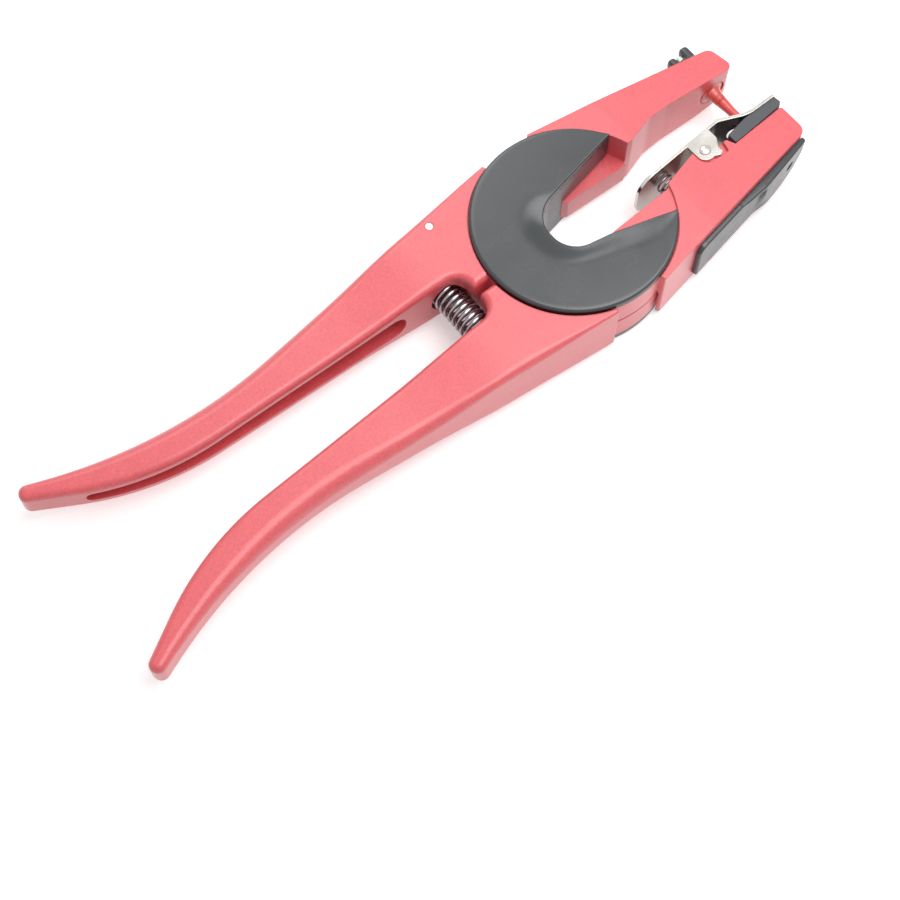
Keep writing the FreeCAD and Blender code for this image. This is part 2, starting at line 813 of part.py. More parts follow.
def spring(name, radius, wire, pitch, turns, x, y, rotation, segment=0):
    """A coil spring: a round wire swept along a helix, whole or in segments of so many turns."""
    coil = doc.addObject("Part::Helix", name + "_coil")
    bind(coil, "Radius", radius)
    bind(coil, "Pitch", pitch)
    bind(coil, "Height", pitch * turns)
    coil.SegmentLength = segment
    section = doc.addObject("Part::Circle", name + "_wire")
    bind(section, "Radius", size(wire) / 2)
    section.Placement = Placement(Vector(), Rotation(Vector(1, 0, 0), 90))
    bind(section, "Placement.Base.x", radius)
    sweep = doc.addObject("Part::Sweep", name + "_sweep")
    sweep.Sections = [section]
    sweep.Spine = (coil, [])
    sweep.Solid = True
    sweep.Frenet = True
    sweep.Placement = Placement(Vector(), rotation)
    bind(sweep, "Placement.Base.x", x)
    bind(sweep, "Placement.Base.y", y)
    return keep(sweep, name)


def return_spring():
    """The spring that opens the handles, seated in both lobes."""
    wire = S["spring_wire"]
    free = S["spring_seat"] * 2 - wire - 0.1
    turns = S["spring_turns"]
    radius = (S["spring_od"] - wire) / 2
    low = -(S["spring_seat"] - wire / 2 - 0.05)
    return spring("return_spring", radius, wire, free / turns, turns, SPRING_X, low, FORWARD_Z)


def clip_spring():
    """The spring under the clip's tail."""
    wire = S["small_spring_wire"]
    radius = (S["small_spring_od"] - wire) / 2
    turns = size(4)
    top = STRIP_UNDER - wire / 2 - 0.1
    low = -(near(0.0) - wire / 2 - 0.05)
    pitch = (top - low) / turns
    return spring(
        "clip_spring", radius, wire, pitch, turns, ahead(S["small_spring_ahead"]), low, FORWARD_Z,
        1,
    )


# ------------------------------------------------------------------ the clip

STRIP_TOP = near(-5.25)
STRIP_UNDER = -near(-6.55)
PAD_RIVET_X = nose(3.7)
PAD_RIVET_Z = (S["fork_w"] / 2 + S["clip_half"]) / 2
PAD_RIVET_R = 0.9
PAD_RIVET_END = STRIP_TOP + S["strip_t"] + 2.0


def strip_top():
    """The clip sheet's upper line in plan, from the nose back to the tail."""
    return [
        (nose(-0.2), -STRIP_TOP, 0),
        (nose(9.8), -STRIP_TOP, 10),
        (nose(18.7), -(STRIP_TOP - 3.84), 4),
        (ahead(-7.4), -(STRIP_TOP - 1.63), 0),
    ]


def strip_under():
    """The same line one sheet thickness below, so the sheet is even."""
    shifts = [(0, -1, 0), (-0.207, -1, 1), (-0.175, -1.014, -1), (0.068, -1, 0)]
    thick = S["strip_t"]
    return [
        (x + thick * right, y + thick * up, size(radius) + thick * grow)
        for (x, y, radius), (right, up, grow) in zip(strip_top(), shifts)
    ]


def clip_lever():
    """The stamped clip: a bent sheet with a forked nose, a round tail and two ears."""
    body = doc.addObject("PartDesign::Body", "clip_lever_body")
    pad_outline(body, "sheet", "XY_Plane", strip_top() + strip_under()[::-1], S["clip_half"] * 2, both=True)
    half = S["fork_w"] / 2
    fork = [
        (nose(-6), half, 0),
        (nose(15.1), half, half * 0.95),
        (nose(15.1), -half, half * 0.95),
        (nose(-6), -half, 0),
    ]
    cut_outline(body, "fork", "XZ_Plane", fork, both=True)
    tail = S["clip_half"]
    for face in (1, -1):
        cut_outline(
            body,
            "tail_round",
            "XZ_Plane",
            [
                (ahead(-14), tail * 1.4 * face, 0),
                (ahead(-14), 0, 0),
                (ahead(-7.35), 0, 0),
                (ahead(-7.35), tail * face, tail * 0.7),
                (ahead(2), tail * face, 0),
                (ahead(2), tail * 1.4 * face, 0),
            ],
            both=True,
        )
    for face in (1, -1):
        ear(body, face)
    cut_circle(body, "rivet_hole", "XY_Plane", CLIP_X, CLIP_Y, S["rivet_d"] / 2, both=True)
    for face in (1, -1):
        cut_circle(
            body, "pad_rivet_hole", "XZ_Plane", PAD_RIVET_X, PAD_RIVET_Z * face, PAD_RIVET_R,
            both=True,
        )
    return keep(body, "clip_lever")


def ear(body, face):
    """One ear of the clip, round about the rivet, with its small stop tab."""
    lift = S["clip_half"] * face
    top = -(STRIP_TOP - 2.9)
    plate = [
        (ahead(12.2), top - 0.1, 0),
        (ahead(12.4), -near(0.15), 3.0),
        (ahead(18.2), -near(-0.1), 1.8),
        (ahead(21.0), -near(-4.3), 0.5),
        (ahead(21.0), top + 0.3, 0),
    ]
    tab = [
        (ahead(17.0), -near(-1.2), 0),
        (ahead(19.2), -near(-1.9), 0),
        (ahead(19.5), -near(0.1), 0),
        (ahead(18.2), -near(0.8), 0),
        (ahead(16.8), -near(0.2), 0),
    ]
    for name, outline in (("ear", plate), ("tab", tab)):
        pad_outline(body, name, "XY_Plane", outline, S["strip_t"], lift=lift, reverse=face > 0)


def clip_pad():
    """The black pad under the clip's nose, slotted for the pin."""
    body = doc.addObject("PartDesign::Body", "clip_pad_body")
    outline = [
        (nose(19.2), -near(0.4), 0.3),
        (nose(0.5), -near(-1.0), 0.3),
        (nose(-0.5), -near(-2.0), 0.4),
        (nose(-0.2), -(STRIP_TOP + S["strip_t"]), 0),
        (nose(11.7), -(STRIP_TOP + S["strip_t"]), 0),
        (nose(19.2), -near(-3.0), 0.4),
    ]
    pad_outline(body, "pad", "XY_Plane", outline, (S["clip_half"] - 0.3) * 2, both=True)
    half = S["fork_w"] / 2 + 0.3
    slot = [
        (nose(-6), half, 0),
        (nose(14.3), half, half * 0.9),
        (nose(14.3), -half, half * 0.9),
        (nose(-6), -half, 0),
    ]
    cut_outline(body, "slot", "XZ_Plane", slot, both=True)
    for face in (1, -1):
        cut_circle(
            body, "rivet_hole", "XZ_Plane", PAD_RIVET_X, PAD_RIVET_Z * face, PAD_RIVET_R, lift=PAD_RIVET_END
        )
    return keep(body, "clip_pad")


def clip_pin():
    """The rivet that the clip turns on, with a head on each ear."""
    shank = S["rivet_d"] / 2
    head = shank + 0.35
    half = S["clip_half"]
    tall = half + 0.9
    profile = [
        (0, -tall, 0),
        (head - 0.4, -tall, 0),
        (head, -(half + 0.45), 0),
        (head, -(half + 0.02), 0),
        (shank - 0.02, -(half + 0.02), 0),
        (shank - 0.02, half + 0.02, 0),
        (head, half + 0.02, 0),
        (head, half + 0.45, 0),
        (head - 0.4, tall, 0),
        (0, tall, 0),
    ]
    return turned("clip_pin", profile, CLIP_X, CLIP_Y, 0, Rotation())


def pad_rivets():
    """Two rivets that hold the pad to the fork, one in each prong."""
    rods = []
    for count, face in enumerate((1, -1), start=1):
        for part, radius, low, tall in (
            ("shank", PAD_RIVET_R, PAD_RIVET_END, PAD_RIVET_END - STRIP_TOP),
            ("head", 1.6, STRIP_TOP, size(0.5)),
        ):
            rod = doc.addObject("Part::Cylinder", f"pad_rivet_{part}_{count}")
            rod.Radius = radius
            bind(rod, "Height", tall)
            rod.Placement = Placement(Vector(), FORWARD_Z)
            bind(rod, "Placement.Base.x", PAD_RIVET_X)
            bind(rod, "Placement.Base.y", -low)
            bind(rod, "Placement.Base.z", PAD_RIVET_Z * face)
            rods.append(rod)
    joined = []
    for count in (0, 1):
        fuse = doc.addObject("Part::Fuse", f"pad_rivet_{count + 1}")
        fuse.Base = rods[count * 2]
        fuse.Tool = rods[count * 2 + 1]
        joined.append(fuse)
    group = doc.addObject("Part::Compound", "pad_rivets_group")
    group.Links = joined
    return keep(group, "pad_rivets")


# ------------------------------------------------------------------ the pin and its lock


def applicator_pin():
    """The applicator pin: stem, round base, cone, step ring, shaft and point."""
    base = S["pin_base_d"] / 2
    shaft = S["pin_d"] / 2
    face = PIN_FACE
    tip = face + S["pin_tip"]
    profile = [
        (0, -(BASE_DEEP + 2.6), 0),
        (S["stem_d"] / 2 - 0.02, -(BASE_DEEP + 2.6), 0),
        (S["stem_d"] / 2 - 0.02, -BASE_DEEP + 0.02, 0),
        (base, -BASE_DEEP + 0.02, 0),
        (base, -0.1, 0.3),
        (shaft + 1.35, 0.25, 0),
        (shaft + 0.55, 2.0, 2.0),
        (shaft + 0.42, 4.1, 0),
        (shaft + 0.12, 4.25, 0),
        (shaft + 0.12, 4.5, 0),
        (shaft + 0.35, 4.65, 0),
        (shaft, face - 3.2, 0),
        (shaft, tip - 3.4, 0),
        (0.55, tip, 0),
        (0, tip, 0),
    ]
    return turned("applicator_pin", profile, PIN_X, PIN_FACE, 0, BACK_Z)


def pin_bush():
    """The bush that guides the pin's stem."""
    inner = S["stem_d"] / 2
    profile = [
        (inner, 0, 0),
        (BUSH_R, 0, 0),
        (BUSH_R, BUSH_LONG, 0),
        (inner, BUSH_LONG, 0),
    ]
    return turned("pin_bush", profile, PIN_X, PIN_FACE + BASE_DEEP, 0, FORWARD_Z)


def knob_washer():
    """The washer between the knob and the jaw, in a flat seat on the jaw's sloped side."""
    bore = S["spindle_d"] / 2 + S["run_gap"]
    profile = [(bore, 0, 0), (WASHER_R, 0, 0), (WASHER_R, WASHER_T, 0), (bore, WASHER_T, 0)]
    return turned("knob_washer", profile, PIN_X, WASHER_Y, 0, FORWARD_Z)


def knob_spindle():
    """The spindle from the knob to the pin's tail, with a collar behind the bush."""
    radius = S["spindle_d"] / 2
    low = PIN_FACE + BASE_DEEP + BUSH_LONG + 0.3
    tall = KNOB_Y + 5.0 - low
    profile = [(0, 0, 0), (radius, 0, 0.3), (radius, tall, 0.3), (0, tall, 0)]
    return turned("knob_spindle", profile, PIN_X, low, 0, FORWARD_Z)


def lock_knob():
    """The winged knob: a round boss with a bow-tie wing across it."""
    body = doc.addObject("PartDesign::Body", "lock_knob_body")
    lift = -KNOB_Y
    pad_circle(body, "boss", "XZ_Plane", PIN_X, 0, 2.9, size(3.0), lift=lift, reverse=True)
    half = S["knob_w"] / 2
    wing = [
        (PIN_X - half, 2.1, 0.9),
        (PIN_X - half, -2.1, 0.9),
        (PIN_X - 1.0, -1.3, 1.0),
        (PIN_X + 1.0, -1.3, 1.0),
        (PIN_X + half, -2.1, 0.9),
        (PIN_X + half, 2.1, 0.9),
        (PIN_X + 1.0, 1.3, 1.0),
        (PIN_X - 1.0, 1.3, 1.0),
    ]
    pad_outline(body, "wing", "XZ_Plane", wing, size(4.0), lift=lift - 2.2, reverse=True)
    cut_circle(
        body, "spindle_bore", "XZ_Plane", PIN_X, 0, S["spindle_d"] / 2, lift=lift + 0.5,
        length=size(5.5),
    )
    return keep(body, "lock_knob")


# ------------------------------------------------------------------ the insert

INSERT_SHY = 1.3
RAIL_DEEP = 2.4
RAIL_NECK = 1.0


def along_jaw(x):
    """Distance down the tag jaw's outer side from its corner to an X."""
    return (x - JAW_CORNER_X) / cosine(S["jaw_slope"])


def rail_corners(neck, head, shallow, deep, out):
    """A T section across the jaw's outer side: X is Y outwards, Y is Z."""
    return [
        (out, neck, 0),
        (-shallow, neck, 0),
        (-shallow, head, 0),
        (-deep, head, 0),
        (-deep, -head, 0),
        (-shallow, -head, 0),
        (-shallow, -neck, 0),
        (out, -neck, 0),
    ]


def rail_groove(body):
    """The T groove in the tag jaw's outer side that the insert slides in, open at the nose."""
    sketch = new_sketch(body, "groove_sketch", "YZ_Plane", turn=S["jaw_slope"])
    past_nose = 8
    along = along_jaw(nose(INSERT_SHY)) + past_nose
    bind(sketch, "AttachmentOffset.Base.x", JAW_CORNER_Y + along * sine(S["jaw_slope"]))
    bind(sketch, "AttachmentOffset.Base.z", JAW_CORNER_X + along * cosine(S["jaw_slope"]))
    corners = rail_corners(
        S["rail_half"] + 0.25, S["rail_half"] + 1.75, RAIL_NECK - 0.25, RAIL_DEEP + 0.25, 2
    )
    add_outline(sketch, [(-x, y, radius) for x, y, radius in corners])
    add_pocket(body, sketch, "groove", length=S["insert_long"] + past_nose - 0.5)


def jaw_insert():
    """The insert on the tag jaw's outer side: a bowed plate on a T rail, with scoop, pin hole and hook."""
    body = doc.addObject("PartDesign::Body", "jaw_insert_body")
    end = along_jaw(nose(INSERT_SHY))
    start = end - S["insert_long"]
    half = S["insert_half"]
    thick = S["insert_t"]
    gap = size(0.05)
    plan = [
        (start, -gap, 0),
        (start, -(thick * 0.6), 0.5),
        (start + 16, -thick, 30),
        (end - 12.5, -thick, 30),
        (end, -(thick * 0.5), 0.6),
        (end, -gap, 0),
    ]
    pad_outline(body, "plate", "XY_Plane", plan, half * 2, both=True)
    outside = [
        (start - 2, half + 3, 0),
        (start - 2, half - 0.2, 0),
        (end + 2, half - 1.7, 0),
        (end + 2, half + 3, 0),
    ]
    cut_outline(body, "top_slope", "XZ_Plane", outside, both=True)
    front = [
        (end - 18, -(half + 3), 0),
        (end - 18, -(half + 0.2), 0),
        (end - 8.0, -(half - 0.8), 8),
        (end - 0.3, 0.5, 5),
        (end + 0.5, 3.2, 0),
        (end + 6, 3.2, 0),
        (end + 6, -(half + 3), 0),
    ]
    cut_outline(body, "front", "XZ_Plane", front, both=True)
    scoop = [
        (start + 12, half - 5.0, 4),
        (end - 16.5, half - 3.6, 1.5),
        (end - 13.5, -(half - 2.6), 1.5),
        (start + 12, -(half - 2.0), 4),
    ]
    cut_outline(body, "scoop", "XZ_Plane", scoop, lift=thick + 1, length=size(1.9))
    sketch = new_sketch(body, "rail_sketch", "YZ_Plane", lift=start + 1)
    corners = rail_corners(S["rail_half"], S["rail_half"] + 1.5, RAIL_NECK, RAIL_DEEP, 0.6)
    add_outline(sketch, [(-x, y, radius) for x, y, radius in corners])
    add_pad(body, sketch, S["insert_long"] - 3, "rail")
    cut_circle(body, "pin_hole", "XZ_Plane", along_jaw(PIN_X), 0, 1.9, both=True)
    body.Placement = Placement(Vector(), Rotation(Vector(0, 0, 1), S["jaw_slope"].number))
    bind(body, "Placement.Rotation.Angle", S["jaw_slope"])
    bind(body, "Placement.Base.x", JAW_CORNER_X)
    bind(body, "Placement.Base.y", JAW_CORNER_Y)
    return keep(body, "jaw_insert")


# ------------------------------------------------------------------ small pieces of the handles


def handle_pin():
    """The dowel through the tag lever's handle."""
    radius = S["dowel_d"] / 2
    half = S["hub_half"]
    profile = [(0, -half, 0), (radius, -half, 0.2), (radius, half, 0.2), (0, half, 0)]
    return turned("handle_pin", profile, behind(3.4), wide(-5.7), 0, Rotation())


def spare_pin():
    """The spare pin: a flat tongue with a hole, a round rod and a point."""
    body = doc.addObject("PartDesign::Body", "spare_pin_body")
    deep = near(SCREW_DEEP)
    radius = S["spare_d"] / 2
    front = behind(26.8)
    neck = behind(36.0)
    tongue = [
        (front, 2.6, 1.5),
        (front, -2.6, 1.5),
        (neck, -2.6, 0.5),
        (neck, 2.6, 0.5),
    ]
    pad_outline(body, "tongue", "XZ_Plane", tongue, size(2), lift=deep, reverse=True)
    cut_circle(body, "screw_hole", "XZ_Plane", behind(31), 0, SCREW_R + 0.15, both=True)
    rod = new_sketch(body, "rod_sketch", "YZ_Plane", lift=behind(35))
    add_circle(rod, -(deep - 1.0), 0, radius)
    add_pad(body, rod, size(38), "rod", reverse=True)
    return keep(body, "spare_pin")


def spare_pin_screw():
    """The round-head screw with a cross recess that holds the spare pin."""
    head = S["screw_head_d"] / 2
    body = doc.addObject("PartDesign::Body", "spare_pin_screw_body")
    seat = -(near(SCREW_DEEP) - 2.05)
    sketch = new_sketch(body, "screw_profile", "XZ_Plane")
    add_outline(
        sketch,
        [
            (0, -8.6, 0),
            (SCREW_R - 0.02, -8.6, 0),
            (SCREW_R - 0.02, 0, 0),
            (head, 0, 0),
            (head, 1.6, 0.9),
            (0, 2.4, 0),
        ],
    )
    feature = body.newObject("PartDesign::Revolution", "screw_turn")
    feature.Profile = sketch
    feature.ReferenceAxis = (sketch, ["V_Axis"])
    feature.Angle = 360
    for name, wide_x, wide_y in (("slot_a", 3.4, 0.8), ("slot_b", 0.8, 3.4)):
        cut_outline(
            body,
            name,
            "XY_Plane",
            [
                (wide_x / 2, wide_y / 2, 0),
                (-wide_x / 2, wide_y / 2, 0),
                (-wide_x / 2, -wide_y / 2, 0),
                (wide_x / 2, -wide_y / 2, 0),
            ],
            lift=3.0,
            length=size(1.8),
        )
    body.Placement = Placement(Vector(), FORWARD_Z)
    bind(body, "Placement.Base.x", behind(31))
    bind(body, "Placement.Base.y", seat)
    return keep(body, "spare_pin_screw")


# ------------------------------------------------------------------ build


def build():
    """Build every sub-part in the order of the tool's layers."""
    tag_lever()
    pin_lever()
    cover("top_cover", 1)
    cover("bottom_cover", -1)
    hub_sleeve()
    thrust_washer()
    pegs("cover_pegs", PEG_ANGLES, PEG_RING, S["peg_d"] / 2, LAYER_OUT - 4, LAYER_OUT + 1.5)
    pegs(
        "sleeve_pegs", SLEEVE_PEG_ANGLES, SLEEVE_PEG_RING, S["sleeve_peg_d"] / 2,
        -(LAYER_OUT + 1.2), LAYER_OUT + 1.2,
    )
    handle_pin()
    return_spring()
    clip_lever()
    clip_pin()
    clip_spring()
    clip_pad()
    pad_rivets()
    applicator_pin()
    pin_bush()
    lock_knob()
    knob_spindle()
    knob_washer()
    jaw_insert()
    spare_pin()
    spare_pin_screw()


def write_out():
    """Check every feature and write one file for each sub-part."""
    doc.recompute()
    for thing in doc.Objects:
        if "Invalid" in thing.State or "Error" in thing.State:
            raise RuntimeError(f"{thing.Name} ({thing.Label}) did not build: {thing.State}")
    for node in NODES:
        shape = node.Shape
        if shape.isNull() or not shape.isValid() or not shape.Solids:
            raise RuntimeError(f"{node.Label} has no valid solid")
        shape.exportStep(f"parts/{node.Label}.step")
        print(node.Label, len(shape.Solids), round(shape.Volume, 1))


os.makedirs("parts", exist_ok=True)
build()
write_out()
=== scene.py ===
import json
import logging
import math
from dataclasses import dataclass, field
from enum import Enum

import bmesh
import bpy
import numpy as np
from mathutils import Matrix, Vector


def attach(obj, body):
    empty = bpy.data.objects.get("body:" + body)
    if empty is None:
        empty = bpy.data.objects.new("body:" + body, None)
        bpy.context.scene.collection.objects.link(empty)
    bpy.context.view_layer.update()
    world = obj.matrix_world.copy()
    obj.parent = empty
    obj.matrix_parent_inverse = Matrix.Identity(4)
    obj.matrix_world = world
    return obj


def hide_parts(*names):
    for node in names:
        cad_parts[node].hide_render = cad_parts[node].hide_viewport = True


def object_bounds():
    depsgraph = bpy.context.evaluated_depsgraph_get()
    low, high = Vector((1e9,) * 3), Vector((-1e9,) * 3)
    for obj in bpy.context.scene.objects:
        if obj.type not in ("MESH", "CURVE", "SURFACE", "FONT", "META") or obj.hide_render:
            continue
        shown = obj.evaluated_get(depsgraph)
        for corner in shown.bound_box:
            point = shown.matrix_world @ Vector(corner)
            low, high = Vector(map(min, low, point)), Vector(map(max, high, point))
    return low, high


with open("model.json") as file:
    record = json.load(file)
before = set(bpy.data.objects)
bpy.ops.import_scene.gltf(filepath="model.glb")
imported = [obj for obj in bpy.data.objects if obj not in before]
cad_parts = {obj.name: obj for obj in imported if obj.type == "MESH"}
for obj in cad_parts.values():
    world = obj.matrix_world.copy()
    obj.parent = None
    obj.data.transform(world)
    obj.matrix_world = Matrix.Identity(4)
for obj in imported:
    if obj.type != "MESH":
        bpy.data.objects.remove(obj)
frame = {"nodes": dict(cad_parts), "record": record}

# An ear tag applicator, dressed and lit. Sizes are in millimetres, in the frame's own axes: X runs from
# the handles to the jaws, Y across them, and Z is the axis that the two levers turn on.

LOG = logging.getLogger("applicator")
MM = 0.001
MERGE = 0.001 * MM  # points closer than this are one
NOISE_SPAN = {"From Min": 0.3, "From Max": 0.7}  # nearly all of a noise lies in this range
CAD_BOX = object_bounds()


# ------------------------------------------------------------------ small tools


def linear(colour: str) -> tuple[float, float, float, float]:
    """Turn an sRGB hex colour into linear red, green, blue and full alpha.

    Args:
        colour: Six hex digits after a hash sign.

    Returns:
        Four floats, as a colour socket takes them.
    """
    parts = [int(colour[i : i + 2], 16) / 255 for i in (1, 3, 5)]
    red, green, blue = [c / 12.92 if c <= 0.04045 else ((c + 0.055) / 1.055) ** 2.4 for c in parts]
    return red, green, blue, 1.0


def add_node(
    tree: bpy.types.NodeTree,
    kind: str,
    values: dict | None = None,
    links: dict | None = None,
    **settings: object,
) -> bpy.types.Node:
    """Add one node with its settings, its input values and its incoming links.

    Args:
        tree: The node tree.
        kind: The node's type, without the "ShaderNode" in front.
        values: Input socket to value.
        links: Input socket to the output socket that feeds it.
        settings: The node's own properties.

    Returns:
        The node.
    """
    node = tree.nodes.new("ShaderNode" + kind)
    for key, value in settings.items():
        setattr(node, key, value)
    for key, value in (values or {}).items():
        node.inputs[key].default_value = value
    for key, source in (links or {}).items():
        tree.links.new(source, node.inputs[key])
    return node


def grain_scale(millimetres: float) -> float:
    """The scale of a noise whose grains are this wide, on coordinates in metres."""
    return 1.0 / (millimetres * MM)


def shade(mesh: bpy.types.Mesh, sharp: float) -> None:
    """Shade a mesh smooth but for edges that turn by more than this many degrees."""
    mesh.polygons.foreach_set("use_smooth", np.ones(len(mesh.polygons), bool))
    mesh.set_sharp_from_angle(angle=math.radians(sharp))


def mesh_object(
    name: str, points: np.ndarray, faces: list | np.ndarray, sharp: float = 35.0
) -> bpy.types.Object:
    """Put vertices and faces into a new smooth-shaded object that keeps its hard edges.

    Args:
        name: The object's name.
        points: N by 3 vertices in millimetres.
        faces: The vertex indices of each face.
        sharp: Edges that turn by more than this, in degrees, stay hard.

    Returns:
        The object, at the origin.
    """
    mesh = bpy.data.meshes.new(name)
    mesh.from_pydata((np.asarray(points) * MM).tolist(), [], [list(map(int, face)) for face in faces])
    mesh.validate()
    shade(mesh, sharp)
    mesh.update()
    made = bpy.data.objects.new(name, mesh)
    bpy.context.scene.collection.objects.link(made)
    return made


def ring_faces(rows: int, columns: int) -> np.ndarray:
    """The quads between closed rings of vertices, numbered ring by ring.

    Args:
        rows: How many rings.
        columns: Vertices in each.

    Returns:
        M by 4 indices.
    """
    ring, spot = np.meshgrid(np.arange(rows - 1), np.arange(columns), indexing="ij")
    first, spot = ring.ravel() * columns, spot.ravel()
    beside = (spot + 1) % columns
    return np.stack([first + spot, first + columns + spot, first + columns + beside, first + beside], axis=1)


def close_edit(made: bpy.types.Object, work: bmesh.types.BMesh) -> None:
    """Turn an edited mesh's faces outwards and write it back.

    Args:
        made: The object that it came from.
        work: The edited mesh, which is freed.
    """
    bmesh.ops.recalc_face_normals(work, faces=work.faces)
    work.to_mesh(made.data)
    work.free()


def outwards(made: bpy.types.Object, sharp: float = 35.0) -> bpy.types.Object:
    """Merge a closed skin, turn its faces outwards and mark its hard edges again.

    Args:
        made: The skin.
        sharp: As in mesh_object.

    Returns:
        The same object.
    """
    work = bmesh.new()
    work.from_mesh(made.data)
    bmesh.ops.remove_doubles(work, verts=work.verts, dist=MERGE)
    close_edit(made, work)
    made.data.set_sharp_from_angle(angle=math.radians(sharp))
    return made


def tube(name: str, rings: np.ndarray, sharp: float = 35.0) -> bpy.types.Object:
    """A closed skin over a row of rings, with a flat cap on the first and the last.

    Args:
        name: The object's name.
        rings: Rows by columns by 3 points, each row one closed ring.
        sharp: As in mesh_object.

    Returns:
        The object, with its faces turned outwards.
    """
    rows, columns = rings.shape[:2]
    faces = ring_faces(rows, columns).tolist()
    faces.append(list(range(columns))[::-1])
    faces.append(list(range((rows - 1) * columns, rows * columns)))
    made = mesh_object(name, rings.reshape(-1, 3), faces, sharp)
    return outwards(made, sharp)


def solid_copy(node: str, name: str) -> tuple[bpy.types.Object, bmesh.types.BMesh]:
    """Copy one of the frame's solids and merge its loose triangles.

    Args:
        node: The solid's node.
        name: The copy's name.

    Returns:
        The new object, and its merged mesh opened for editing.
    """
    source = frame["nodes"][node]
    mesh = source.data.copy()
    mesh.transform(source.matrix_world)
    made = bpy.data.objects.new(name, mesh)
    bpy.context.scene.collection.objects.link(made)
    work = bmesh.new()
    work.from_mesh(mesh)
    bmesh.ops.remove_doubles(work, verts=work.verts, dist=MERGE)
    return made, work


def join(pieces: list[bpy.types.Object], sharp: float = 45.0) -> bpy.types.Object:
    """Put the meshes of several pieces into the first.

    Args:
        pieces: The objects, of which all but the first are removed.
        sharp: As in mesh_object.

    Returns:
        The first object.
    """
    work = bmesh.new()
    for piece in pieces:
        work.from_mesh(piece.data)
    work.to_mesh(pieces[0].data)
    work.free()
    shade(pieces[0].data, sharp)
    for spare in pieces[1:]:
        bpy.data.objects.remove(spare)
    return pieces[0]


def turned(radius: np.ndarray, height: np.ndarray, count: int) -> tuple[np.ndarray, np.ndarray, np.ndarray]:
    """Rings of a turned shape: radius times the cosine and the sine of even angles, at each height.

    Args:
        radius: Radius of each ring.
        height: Height of each ring.
        count: Points in a ring.

    Returns:
        Both coordinates across the axis, and the one along it, rings by points.
    """
    angle = np.linspace(0, 2 * math.pi, count, endpoint=False)
    across, aside = radius[:, None] * np.cos(angle)[None], radius[:, None] * np.sin(angle)[None]
    return across, aside, np.broadcast_to(height[:, None], across.shape)


def rounded_path(corners: list[tuple[float, float, float]], arc_points: int = 24) -> np.ndarray:
    """An open path of straight runs with its inner corners rounded.

    Each corner is replaced by the arc of its radius that is tangent to both runs: the arc's ends lie at
    radius / tan(half the corner's angle) from the corner, and its centre on the line that halves it.

    Args:
        corners: (x, y, radius) of each corner.
        arc_points: Points in each arc.

    Returns:
        N by 2 points.
    """
    spots = [np.array(corner[:2], float) for corner in corners]
    path = [spots[0][None]]
    for before, here, after, corner in zip(spots, spots[1:], spots[2:], corners[1:]):
        back = (before - here) / np.linalg.norm(before - here)
        on = (after - here) / np.linalg.norm(after - here)
        half = math.acos(float(back @ on)) / 2
        middle = (back + on) / np.linalg.norm(back + on)
        centre = here + middle * corner[2] / math.sin(half)
        sweep = np.linspace(-1, 1, arc_points) * (math.pi / 2 - half)
        side = np.array([-middle[1], middle[0]])
        side = side if side @ on > 0 else -side
        path.append(centre - corner[2] * (np.cos(sweep)[:, None] * middle - np.sin(sweep)[:, None] * side))
    path.append(spots[-1][None])
    return np.concatenate(path)


def resample(path: np.ndarray, count: int) -> np.ndarray:
    """Points at even distances along a path: each coordinate read off against the length so far.

    Args:
        path: N by 2 or 3 points.
        count: How many points to return.

    Returns:
        count points.
    """
    run = np.concatenate([[0.0], np.cumsum(np.linalg.norm(np.diff(path, axis=0), axis=1))])
    even = np.linspace(0.0, run[-1], count)
    return np.stack([np.interp(even, run, path[:, axis]) for axis in range(path.shape[1])], axis=1)


def smooth(value: np.ndarray, low: float, high: float) -> np.ndarray:
    """Zero below low, one above high, and the curve 3t² - 2t³ between."""
    t = np.clip((value - low) / (high - low), 0.0, 1.0)
    return t * t * (3 - 2 * t)


def round_off(distance: np.ndarray, radius: float) -> np.ndarray:
    """How far a rounded edge falls short, d from it: r - sqrt(r² - (r - d)²), and nought past r."""
    inside = np.clip(distance, 0, radius)
    return radius - np.sqrt(np.maximum(radius**2 - (radius - inside) ** 2, 0))


# ------------------------------------------------------------------ finishes


@dataclass(frozen=True)
class Finish:
    """A surface: what it is made of and how it was made."""

    name: str
    colour: str
    rough: float
    metal: float = 0.0
    bevel: float = 0.0

    def surface(self, tree: bpy.types.NodeTree, shader: bpy.types.Node, place: bpy.types.NodeSocket) -> None:
        """Add this finish's own grain to the shader.

        Args:
            tree: The material's nodes.
            shader: The principled shader.
            place: Object coordinates.
        """

    def edge(self, tree: bpy.types.NodeTree) -> dict:
        """The link that softens hard edges by the bevel's radius, where there is one.

        Args:
            tree: The material's nodes.

        Returns:
            Nothing, or the bump's normal socket and the output that feeds it.
        """
        if not self.bevel:
            return {}
        rounded = add_node(tree, "Bevel", {"Radius": self.bevel * MM}, samples=6)
        return {"Normal": rounded.outputs["Normal"]}

    def material(self) -> bpy.types.Material:
        """Make the material: the principled shader in this colour, with this finish's grain.

        Returns:
            The material.
        """
        made = bpy.data.materials.new(self.name)
        made.use_nodes = True
        tree = made.node_tree
        tree.nodes.clear()
        values = {"Base Color": linear(self.colour), "Roughness": self.rough, "Metallic": self.metal}
        shader = add_node(tree, "BsdfPrincipled", values)
        add_node(tree, "OutputMaterial", links={"Surface": shader.outputs["BSDF"]})
        place = add_node(tree, "TexCoord").outputs["Object"]
        self.surface(tree, shader, place)
        return made


